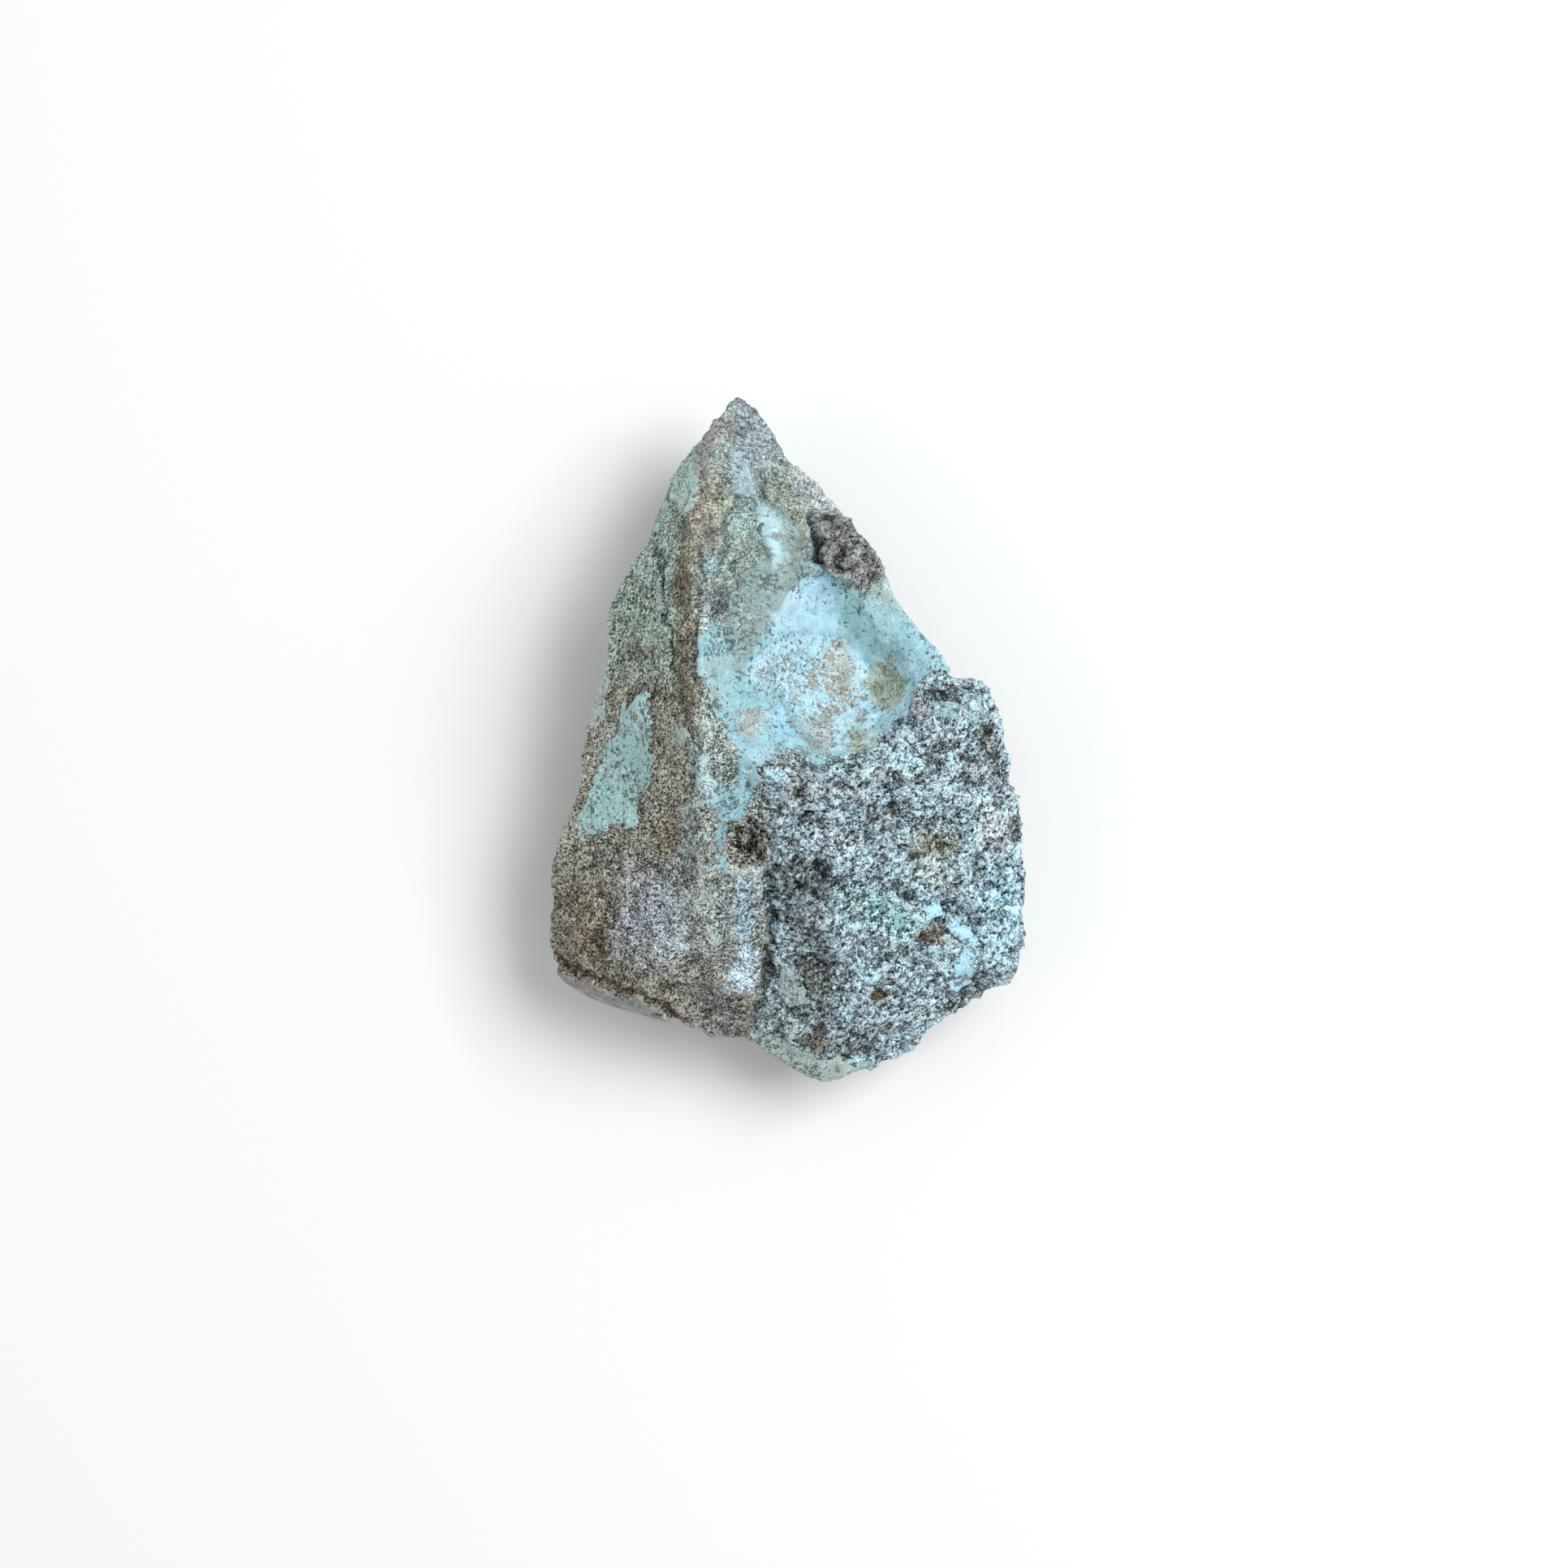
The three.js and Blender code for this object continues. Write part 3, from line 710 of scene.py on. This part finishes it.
SKIN_WASHES = [
    ((-0.2, 27.4), (2.4, 3.6), (126, 146, 140), 1), ((-1, 20.6), (4.6, 2.6), (138, 160, 158), 1, -20),
    ((11, 17.2), (1.8, 1.8), (159, 174, 168), 0.7), ((6.4, 8.6), (2, 3.2), (177, 181, 174), 0.8, 10),
    ((-4, 1.6), (1.8, 1.6), (182, 185, 180), 0.8, 20),
    ((8.9, -0.4), (2.6, 1.6), (161, 174, 157), 0.9, 20), ((3.4, 0.6), (2, 2.2), (173, 174, 168), 0.7),
    ((-0.6, 1.2), (2.3, 2.8), (156, 205, 222), 1, 20),
    ((-8.8, 7.2), (2.2, 4.6), (164, 194, 198), 1, -10),
    ((-5.6, -3), (2.4, 5), (144, 185, 198), 0.9, 10), ((-9.6, -4), (1.6, 4.2), (188, 218, 222), 1),
    ((-7.6, -12), (1.6, 3.6), (144, 180, 189), 1), ((-1.9, 23.6), (1.1, 3.8), (186, 222, 229), 1, 19),
    ((-17, 3.6), (2, 3.2), (192, 230, 228), 0.9), ((17, 11.6), (2.6, 6.4), (158, 200, 214), 0.9, 38),
    ((-17, -33), (4.4, 2.2), (146, 152, 148), 1, -20),
]
BELLY_SKIN = (159, 181, 180)
LEDGE = [(-5.4, 19.6), (-2.4, 20.8), (1.4, 19.8), (2.0, 18.4), (-1.0, 15.7), (-2.2, 13.5),
         (-3.4, 11.3), (-5.4, 7.4), (-6.6, 8.2), (-7.2, 10.8), (-7.8, 13.4), (-7.8, 17.2)]
BRIGHT_SLOPE = [(1.4, 18.6), (3.2, 19.8), (5.8, 18.2), (5.6, 15.2), (6.4, 12.6), (3.0, 12.9),
                (1.0, 13.0), (-2.0, 11.8), (-2.6, 13.4), (-1.0, 15.6)]
TEAL_WALL = [(5.9, 17.9), (9.3, 17.4), (11.3, 16.2), (10.4, 15.2), (10.8, 13.5), (11.8, 12.5),
             (12.7, 10.8), (14.2, 9.4), (13.7, 8.7), (10.3, 9.6), (9.3, 11.3), (7.4, 12.1),
             (6.4, 12.8), (5.7, 15.2)]
OCHRE_FACE = [(10.3, 9.4), (11.8, 8.9), (14.0, 7.9), (14.2, 5.0), (12.3, 3.3), (10.0, 4.2),
              (9.8, 6.9)]
STAINED_FLOOR = [(-4.4, 9.2), (-2.0, 10.9), (1.0, 12.6), (3.9, 12.3), (6.9, 11.8), (9.3, 10.6),
                 (9.8, 8.9), (9.8, 6.4), (9.6, 4.5), (10.4, 3.0), (10.4, 0.0), (6.9, -1.4),
                 (4.2, -2.2), (2.9, -1.6), (2.0, 2.0), (0, 4.5), (-1.0, 5.9), (-3.2, 6.4),
                 (-4.9, 6.9)]

skin_colour = np.tile(mineral(*SKIN_BLUE), (len(points), 1))
for name, tint in SKIN_TINTS.items():
    around = step_up(inside(SKINS[name], from_above), -1.2, -0.6)
    skin_colour = wash(skin_colour, around, tint)
for outline, colour in [(STAINED_FLOOR, (181, 219, 234)), (LEDGE, (142, 166, 162)),
                        (OCHRE_FACE, (170, 184, 168))]:
    skin_colour = wash(skin_colour, filled(outline), colour)
for middle, half, colour, amount, *turn in SKIN_WASHES:
    skin_colour = wash(skin_colour, amount * oval(middle, half, *turn), colour)
# Painted shade: the wall facing away from the lamp is painted darker and greener than the bright slope,
# partly as its own teal.
for outline, colour in [(BRIGHT_SLOPE, (176, 212, 230)), (TEAL_WALL, (162, 198, 202))]:
    skin_colour = wash(skin_colour, 0.9 * filled(outline), colour)
# Painted shade and highlights: the floor crease and the wall's foot are painted darker as painted
# shade, and the rim facet's edge and the rim's edge paler as painted highlights.
for line, width, colour, amount in [(FLOOR_CREASE, 0.8, (108, 149, 163), 0.55),
                                    (RIM_FACET, 0.5, (186, 222, 232), 0.7),
                                    (WALL_FOOT, 0.8, (104, 146, 152), 0.4),
                                    (RIM_EDGE, 0.6, (214, 228, 230), 0.7)]:
    skin_colour = wash(skin_colour, amount * crack(line, width), colour)
skin_colour = wash(skin_colour, below, BELLY_SKIN)
print("turquoise mean:", np.round(skin_colour.mean(0), 3))

# %% [markdown]
# ## How busy each area is
# Six amounts vary over the stone. Contrast says how far dark gaps and pale grains
# differ: strong on the slab, mild in the hollow. Flecks say how many dark specks sit in
# the turquoise. Coarse is 1 where grains are large, and fibre is 1 along the rib. Worn
# says where turquoise is thin, and lean where dark clusters or pale blotches gather.

# %% Contrast, flecks, coarse grains and fibre
FLECK_AREAS = [
    ((2.5, 5.5), (6.5, 7), 0.16), ((-0.7, 9.4), (4.4, 4.2), 0.17), ((2.6, 15.6), (4.6, 3.8), -0.35),
    ((-7.6, 11.2), (2, 1.6), 0.3), ((-4.4, 14), (3, 5), 0.15), ((-8.6, -8), (3, 8), 0.35),
    ((-8.6, 10.4), (2, 2), 0.3), ((0, -37.5), (4.4, 4.4), 0.4), ((0.4, -30), (2.6, 3), 0.3),
    ((9.5, 12.6), (3, 4), -0.15), ((16, 12), (2, 6), 0.1, 38), ((-1.9, 23.6), (1.3, 4), -0.6, 19),
]


def heaped(areas):
    """The sum of some ovals, each times its own amount."""
    return sum(amount * oval(middle, half, *turn) for middle, half, amount, *turn in areas)


contrast = 0.78 + 0.22 * on_slab + 0.16 * left_side + 0.06 * on_lobe - 0.46 * in_hollow
contrast -= 0.3 * oval((-5.4, -27.6), (2.6, 3.4))
contrast += 0.7 * in_pit - 0.1 * below - 0.3 * on_wedge
flecks = np.clip(0.4 + 0.2 * left_side + 0.3 * on_wedge + heaped(FLECK_AREAS), 0, 1)
coarse = 0.2 + 0.8 * on_slab + 0.6 * on_knob + 0.5 * oval((-6.4, -16), (4.4, 9))
coarse = np.clip(coarse, 0, 1)
fibre = np.clip(crack(RIB, 2.6) * 1.4, 0, 1) * upper
print("contrast", round(float(contrast.mean()), 2), "flecks", round(float(flecks.mean()), 2))

# %% Where the turquoise is worn thin
WORN_SPOTS = [
    ((2.4, 7.4), (8, 7.4), 0.6, -20), ((5.8, 6.4), (4.4, 6.6), 0.82, 15),
    ((-4.2, 7.6), (2.6, 2.8), 0.8), ((-4.4, 2.4), (2.8, 3.4), 0.72, 25), ((4, -0.2), (2.8, 3), 0.8),
    ((11.8, 6.2), (3, 3.8), 1), ((8.9, -0.6), (3, 2), 0.9, 20), ((-3.8, 15.2), (2.8, 3.8), 0.6),
    ((-0.4, 21.6), (4.8, 3.2), 0.8, -20), ((-8.4, 13.6), (2.6, 2), 0.9),
    ((14.4, 15.2), (2.2, 4.4), 0.4, 38), ((-4.9, -5), (2.6, 4.6), 0.35, 10),
    ((-8, -11.5), (2.2, 4.4), 0.7), ((-20.6, -3), (6, 12), 0.34), ((-17.4, 4.4), (1.6, 2), 0.8),
    ((-12.6, 29.6), (4, 7), 0.45), ((21, 3.6), (5, 3.4), 0.8), ((20.5, -24), (6, 9), 0.55),
    ((-5.6, -27.8), (2.8, 2.8), 0.5), ((0.4, -30), (3.4, 3.6), 0.6), ((0, -38.4), (5, 4.4), 0.62),
    ((-4.4, 30.6), (3.4, 5), 0.85), ((-15.4, 17), (2, 4), 0.5), ((-8.6, 6), (1.6, 5), 0.35, -8),
]
worn = 0.12 + 0.4 * below
for middle, half, amount, *turn in WORN_SPOTS:
    worn = np.maximum(worn, amount * oval(middle, half, *turn) * upper)
print("worn:", round(float(worn.mean()), 2))

# %% Where dark clusters gather, below 0, and where pale blotches do, above 0
LEANS = [
    ((1.6, -19), (3.8, 6), -0.7), ((4, -28), (4.2, 4.8), -0.9), ((3.8, -16), (1.6, 3), -1.4),
    ((11.9, -9.2), (1.8, 2.2), -1.4), ((5.4, -5.5), (4, 2.2), -0.5), ((17.2, -3.4), (2.4, 2), -0.6),
    ((3.2, -36.8), (3.4, 2), -0.8), ((24, -31), (4.4, 2), -0.8, 30), ((18.6, -11), (2, 3), -0.4),
    ((12.2, -20.8), (5.6, 2.4), 1.2, -30), ((4.8, -12.2), (2.4, 2), 1.4),
    ((17.3, -15.8), (3, 2.2), 1.3, -20), ((25, -10), (2.8, 5), 0.8), ((25.8, -20), (3.4, 6), 0.8),
    ((21, -25), (3.4, 5), 1), ((10, -13.6), (4, 2.6), 0.6), ((-5.4, -27.6), (2.2, 3), 0.8),
    ((-15, -20), (5, 6), 0.6), ((-24, -22), (4, 8), -0.35), ((-8, -33), (5, 3), -0.7),
    ((-22.2, -24.6), (1.6, 3), -1.2), ((-4, 36), (2.6, 4), 0.6), ((-17, 3), (2.4, 5), -0.8),
    ((-14, -14), (4, 3), -0.3), ((-8.2, 15.8), (2.4, 3), -1.2), ((-5, -20), (2.4, 7), 0.9),
    ((-20, 12), (3, 5), -0.4),
]
MOST_LEAN = 1.6

lean = np.clip(heaped(LEANS) * upper, -MOST_LEAN, MOST_LEAN)
print("lean:", round(float(lean.min()), 2), "to", round(float(lean.max()), 2))

# %% [markdown]
# ## Handing the amounts to the material
# Each amount is stored on the mesh's points under a plain name. The material reads it
# back and adds its own finer noise, so borders stay crisp between the points.

# %% Store the amounts on the points
def store(name, values):
    """Keeps one number or one colour per point under a name."""
    if values.ndim == 1:
        layer = stone.data.attributes.new(name, "FLOAT", "POINT")
        layer.data.foreach_set("value", values.astype(np.float32))
        return
    layer = stone.data.attributes.new(name, "FLOAT_COLOR", "POINT")
    opaque = np.concatenate([values, np.ones((len(values), 1))], axis=1)
    layer.data.foreach_set("color", opaque.astype(np.float32).ravel())


AMOUNTS = {
    "skin_reach": skin_reach, "rock_colour": rock_colour, "skin_colour": skin_colour,
    "contrast": contrast, "flecks": flecks, "gap_shade_and_crest_wear": gap_shade_and_crest_wear, "fibre": fibre,
    "worn": worn, "lean": lean, "coarse": coarse,
}
for name, values in AMOUNTS.items():
    store(name, values)
print("stored:", [layer.name for layer in stone.data.attributes if layer.name[0] != "."])

# %% [markdown]
# ## One material for the whole stone
# Host rock and turquoise grade into each other grain by grain, so one material holds
# both and decides between them at each spot. It is built from a few short helpers that
# each add one node. The noise runs in the stone's own space, in millimetres, so it
# passes over every edge without a seam.

# %% Helpers that add one node each
finish = bpy.data.materials.new("raw_turquoise")
finish.use_nodes = True
tree = finish.node_tree
shader = tree.nodes["Principled BSDF"]


def connect(value, socket):
    """Feeds a socket from another socket, or sets a plain number or colour on it."""
    if isinstance(value, bpy.types.NodeSocket):
        tree.links.new(value, socket)
    else:
        socket.default_value = value


def sum_of(kind, a, b=0.0, c=0.0, clamp=False):
    """One sum on numbers, such as ADD, MULTIPLY or MULTIPLY_ADD."""
    node = tree.nodes.new("ShaderNodeMath")
    node.operation = kind
    node.use_clamp = clamp
    for socket, value in zip(node.inputs, (a, b, c)):
        connect(value, socket)
    return node.outputs[0]


def times(a, b, plus=None):
    """a times b, plus a third value if there is one."""
    if plus is None:
        return sum_of("MULTIPLY", a, b)
    return sum_of("MULTIPLY_ADD", a, b, plus)


def swing(noise_here, depth, base=0.0):
    """How far a noise is from its middle, times a depth, on top of a base."""
    return times(sum_of("SUBTRACT", noise_here, 0.5), depth, base)


def ramp_up(value, start, end):
    """0 below start and 1 above end, with an eased change between."""
    node = tree.nodes.new("ShaderNodeMapRange")
    node.interpolation_type = "SMOOTHSTEP"
    connect(value, node.inputs["Value"])
    connect(start, node.inputs["From Min"])
    connect(end, node.inputs["From Max"])
    return node.outputs["Result"]


def blend_colour(amount, first, second, way="MIX"):
    """The first colour, turned into the second by an amount, or multiplied by it."""
    node = tree.nodes.new("ShaderNodeMix")
    node.data_type = "RGBA"
    node.blend_type = way
    connect(amount, node.inputs["Factor"])
    connect(first, node.inputs[6])
    connect(second, node.inputs[7])
    return node.outputs[2]


def channels(colour_here):
    """A colour's red, green and blue, as numbers."""
    node = tree.nodes.new("ShaderNodeSeparateColor")
    tree.links.new(colour_here, node.inputs[0])
    return node.outputs


def stored(name, colour=False):
    """What was stored on the points under a name."""
    node = tree.nodes.new("ShaderNodeAttribute")
    node.attribute_name = name
    return node.outputs["Color" if colour else "Fac"]


def cloud(place, per_mm, detail=2.0, rough=0.5, warp=0.0, colour=False):
    """Soft noise from 0 to 1, or three of them as a colour, `per_mm` lumps in a mm."""
    node = tree.nodes.new("ShaderNodeTexNoise")
    connect(place, node.inputs["Vector"])
    node.inputs["Scale"].default_value = per_mm
    node.inputs["Detail"].default_value = detail
    node.inputs["Roughness"].default_value = rough
    node.inputs["Distortion"].default_value = warp
    return node.outputs["Color" if colour else "Fac"]


def thin_lines(noise_here, core, edge):
    """1 where a noise passes its middle, which it does on thin, wandering lines."""
    off_middle = sum_of("ABSOLUTE", sum_of("SUBTRACT", noise_here, 0.5))
    return sum_of("SUBTRACT", 1.0, ramp_up(off_middle, core, edge))


def crystals(place, per_mm):
    """Cells like packed grains, with `per_mm` of them in a millimetre."""
    node = tree.nodes.new("ShaderNodeTexVoronoi")
    connect(place, node.inputs["Vector"])
    node.inputs["Scale"].default_value = per_mm
    return node


def shift_place(place, moves, reach):
    """The place moved by a colour's distance from mid grey, times `reach` mm."""
    centre = tree.nodes.new("ShaderNodeVectorMath")
    centre.operation = "SUBTRACT"
    connect(moves, centre.inputs[0])
    centre.inputs[1].default_value = (0.5, 0.5, 0.5)
    move = tree.nodes.new("ShaderNodeVectorMath")
    move.operation = "MULTIPLY_ADD"
    tree.links.new(centre.outputs[0], move.inputs[0])
    move.inputs[1].default_value = (reach, reach, reach)
    connect(place, move.inputs[2])
    return move.outputs[0]


# %% [markdown]
# ## Grains of the host rock
# Close up, the rock is a packing of grains a quarter to half a millimetre wide, some
# chalky, some grey and some nearly black, with crooked gaps between them. Packed cells
# of two sizes give each grain its shade, the larger ones where the stone is coarse.
# Thin lines of a noise give the gaps, and a finer noise keeps the grains from being
# flat. The place is bent first, so no grain is a polygon.

# %% Grain shades and gaps
BEND_REACH = 1.0
GRAINS_PER_MM = 2.3
SMALL_GRAINS_PER_MM = 3.9
ALONG_RIDGE = (1.0, 0.2, 0.6)

coordinates = tree.nodes.new("ShaderNodeTexCoord")
to_mm = tree.nodes.new("ShaderNodeVectorMath")
to_mm.operation = "SCALE"
tree.links.new(coordinates.outputs["Object"], to_mm.inputs[0])
to_mm.inputs["Scale"].default_value = 1 / MM
place = to_mm.outputs[0]

bent = shift_place(place, cloud(place, per_mm=1.3, colour=True), BEND_REACH)
grain_cells = crystals(bent, GRAINS_PER_MM)
grain_shade = channels(grain_cells.outputs["Color"])["Red"]
small_cells = crystals(bent, SMALL_GRAINS_PER_MM)
small_shade = channels(small_cells.outputs["Color"])["Red"]
coarse_here = stored("coarse")
size_gap = sum_of("SUBTRACT", grain_shade, small_shade)
shade_here = times(size_gap, coarse_here, small_shade)
grain_dome = sum_of("SUBTRACT", 1.0, grain_cells.outputs["Distance"], clamp=True)

gap_noise = cloud(bent, per_mm=1.5, detail=3, rough=0.6)
gap = thin_lines(gap_noise, core=0.008, edge=0.05)
fine = cloud(place, per_mm=3.7, rough=0.65)
patchy = cloud(place, per_mm=0.28, detail=3, rough=0.55)
cluster_noise = cloud(bent, per_mm=0.5, detail=3, rough=0.55)
clusters = times(stored("lean"), 0.09, cluster_noise)
along_ridge = tree.nodes.new("ShaderNodeVectorMath")
along_ridge.operation = "MULTIPLY"
connect(bent, along_ridge.inputs[0])
along_ridge.inputs[1].default_value = ALONG_RIDGE
fibre_noise = cloud(along_ridge.outputs[0], per_mm=2.4, detail=3, rough=0.6)
print("nodes so far:", len(tree.nodes))

# %% [markdown]
# ## Mixing the rock's colour
# The washed colour is the middle one. A pattern around zero makes it darker in the gaps
# and dark grains and paler on the others, and reaches further into the dark. The stored
# contrast says by how much. Slow noises cast the rock bluer or warmer, and gather dark
# clusters and pale blotches. The palest grains turn to chalk, most where it is coarse.

# %% Rock colour
CHALK = (0.70, 0.76, 0.79, 1)
BLUE_CAST = (0.74, 1.06, 1.14, 1)
WARM_CAST = (1.12, 0.98, 0.80, 1)
DARK_CAST = (0.52, 0.47, 0.43, 1)
PALE_CAST = (1.25, 1.25, 1.24, 1)
contrast_here = stored("contrast")
gap_shade_and_crest_wear_here = stored("gap_shade_and_crest_wear")

pattern = swing(shade_here, 1.5, 0.02)
fine_bite = times(coarse_here, -3.6, 8.2)
pattern = swing(fine, fine_bite, pattern)
gap_depth = times(coarse_here, -0.2, -0.45)
pattern = times(gap, gap_depth, pattern)
pattern = swing(patchy, 1.0, pattern)
pattern = swing(clusters, 1.0, pattern)
# Painted shade: points low among their neighbours darken, and crests turn paler, partly as wear.
pattern = times(gap_shade_and_crest_wear_here, 0.5, pattern)
pattern = times(pattern, contrast_here)
uneven_depth = times(pattern, -0.42, 1.0)
pattern = times(pattern, uneven_depth, 0.09)
strand = sum_of("SUBTRACT", fibre_noise, 0.5)
pattern = times(times(strand, stored("fibre")), 2.4, pattern)

washed = stored("rock_colour", colour=True)
gain = sum_of("POWER", 2.0, times(pattern, 1.9))
hues = channels(cloud(bent, per_mm=0.5, detail=4, rough=0.65, colour=True))
bluer = ramp_up(hues["Red"], 0.52, 0.68)
warmer = ramp_up(hues["Green"], 0.54, 0.70)
hue_swing = times(coarse_here, 0.35, 0.3)
washed = blend_colour(times(bluer, hue_swing), washed, BLUE_CAST, "MULTIPLY")
washed = blend_colour(times(warmer, hue_swing), washed, WARM_CAST, "MULTIPLY")
dark_cluster = ramp_up(clusters, 0.47, 0.36)
pale_blotch = ramp_up(clusters, 0.54, 0.66)
cluster_swing = times(coarse_here, 0.55, 0.3)
washed = blend_colour(times(dark_cluster, cluster_swing), washed, DARK_CAST, "MULTIPLY")
washed = blend_colour(times(pale_blotch, cluster_swing), washed, PALE_CAST, "MULTIPLY")
rock = blend_colour(1.0, washed, gain, "MULTIPLY")
chalky = ramp_up(times(pattern, contrast_here), 0.25, 1.0)
chalk_share = times(coarse_here, 0.45, 0.15)
rock = blend_colour(times(chalky, chalk_share), rock, CHALK)
print("nodes so far:", len(tree.nodes))

# %% [markdown]
# ## Mixing the turquoise's colour
# The mineral is chalky and smooth. Slow noises drift it paler, deeper and rosier, and
# small dark specks and thin strokes of rock show through it. Specks are the highest
# peaks of a noise, which gives uneven shapes and sizes, and the stored amount lifts or
# sinks the whole noise, so more or fewer peaks come through.

# %% Turquoise colour
PALE_VEIL = (0.70, 0.86, 0.92, 1)
DEEP_TINT = (0.19, 0.40, 0.47, 1)
SPECK = (0.065, 0.11, 0.115, 1)
SPECK_DEPTH = 0.85
ROSY_CAST = (1.12, 0.99, 0.95, 1)
flecks_here = stored("flecks")

skin_wash = stored("skin_colour", colour=True)
drift = cloud(place, per_mm=0.45, detail=4, rough=0.6, warp=0.6)
skin = blend_colour(times(ramp_up(drift, 0.5, 0.78), 0.45), skin_wash, PALE_VEIL)
skin = blend_colour(times(ramp_up(drift, 0.48, 0.2), 0.35), skin, DEEP_TINT)

speck_noise = cloud(bent, per_mm=1.9, detail=4, rough=0.6)
speck_chance = swing(flecks_here, 0.2, speck_noise)
speck_chance = swing(patchy, 0.34, speck_chance)
speck = ramp_up(speck_chance, 0.58, 0.605)
skin = blend_colour(times(speck, SPECK_DEPTH), skin, SPECK)
mottle = cloud(bent, per_mm=0.9, detail=3, rough=0.6)
stroke_noise = cloud(bent, per_mm=1.2, warp=0.5)
stroke = thin_lines(stroke_noise, core=0.004, edge=0.022)
stroke = times(stroke, ramp_up(mottle, 0.46, 0.56))
stroke = times(stroke, ramp_up(flecks_here, 0.35, 0.75))
skin = blend_colour(times(stroke, SPECK_DEPTH), skin, SPECK)
skin_bite = times(flecks_here, 2.0, 0.35)
skin_grain = swing(fine, skin_bite, 1.05)
skin_grain = swing(mottle, 0.8, skin_grain)
skin = blend_colour(1.0, skin, skin_grain, "MULTIPLY")
rosier = ramp_up(hues["Blue"], 0.5, 0.66)
skin = blend_colour(times(rosier, 0.4), skin, ROSY_CAST, "MULTIPLY")
print("nodes so far:", len(tree.nodes))

# %% [markdown]
# ## Where one gives way to the other
# The stored distance is zero on the drawn border. A noise and the grains' shades are
# added before it is cut, so the border breaks up into grains and leaves small islands. Where the
# turquoise is worn thin, a slower noise lets the stained rock show through in patches.

# %% The border, and the finished colour
border = swing(cloud(place, per_mm=0.7, detail=3), 1.6, stored("skin_reach"))
border = swing(shade_here, 0.35, border)
stain_noise = cloud(bent, per_mm=0.55, detail=4, rough=0.56)
stain = ramp_up(times(stored("worn"), 0.24, stain_noise), 0.63, 0.77)
coated = ramp_up(border, -0.08, 0.1)
coated = times(coated, times(stain, -0.85, 1.0))
colour = blend_colour(coated, rock, skin)
tree.links.new(colour, shader.inputs["Base Color"])
print("nodes so far:", len(tree.nodes))

# %% [markdown]
# ## Sheen and the finest relief
# Chalky rock scatters light almost evenly, and the turquoise has a faint waxy sheen.
# Relief finer than the mesh's squares can't be in the mesh, so the material adds it
# as bump: domed grains and gaps on the rock, a light ripple on the turquoise.

# %% Roughness and bump
BUMP_STRENGTH = 0.85
GLOSS = 0.35

rock_height = times(grain_dome, 0.22)
rock_height = times(fine, 0.25, rock_height)
rock_height = times(gap, -0.14, rock_height)
skin_height = times(fine, 0.06, times(drift, 0.12))
skin_height = times(speck, -0.06, skin_height)
skin_height = sum_of("ADD", skin_height, 0.22)
mixed = tree.nodes.new("ShaderNodeMix")
connect(coated, mixed.inputs["Factor"])
connect(rock_height, mixed.inputs[2])
connect(skin_height, mixed.inputs[3])
bump = tree.nodes.new("ShaderNodeBump")
bump.inputs["Distance"].default_value = MM
bump.inputs["Strength"].default_value = BUMP_STRENGTH
tree.links.new(mixed.outputs[0], bump.inputs["Height"])
tree.links.new(bump.outputs["Normal"], shader.inputs["Normal"])

sheen_change = times(fine, -0.12, 0.98)
matt = times(coated, -0.22, sheen_change)
tree.links.new(matt, shader.inputs["Roughness"])
shader.inputs["Specular IOR Level"].default_value = GLOSS
stone.data.materials.clear()
stone.data.materials.append(finish)
print("nodes in the finish:", len(tree.nodes))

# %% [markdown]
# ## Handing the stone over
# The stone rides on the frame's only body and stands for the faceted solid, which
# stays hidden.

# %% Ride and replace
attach(stone, "root")
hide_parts("turquoise_nugget")
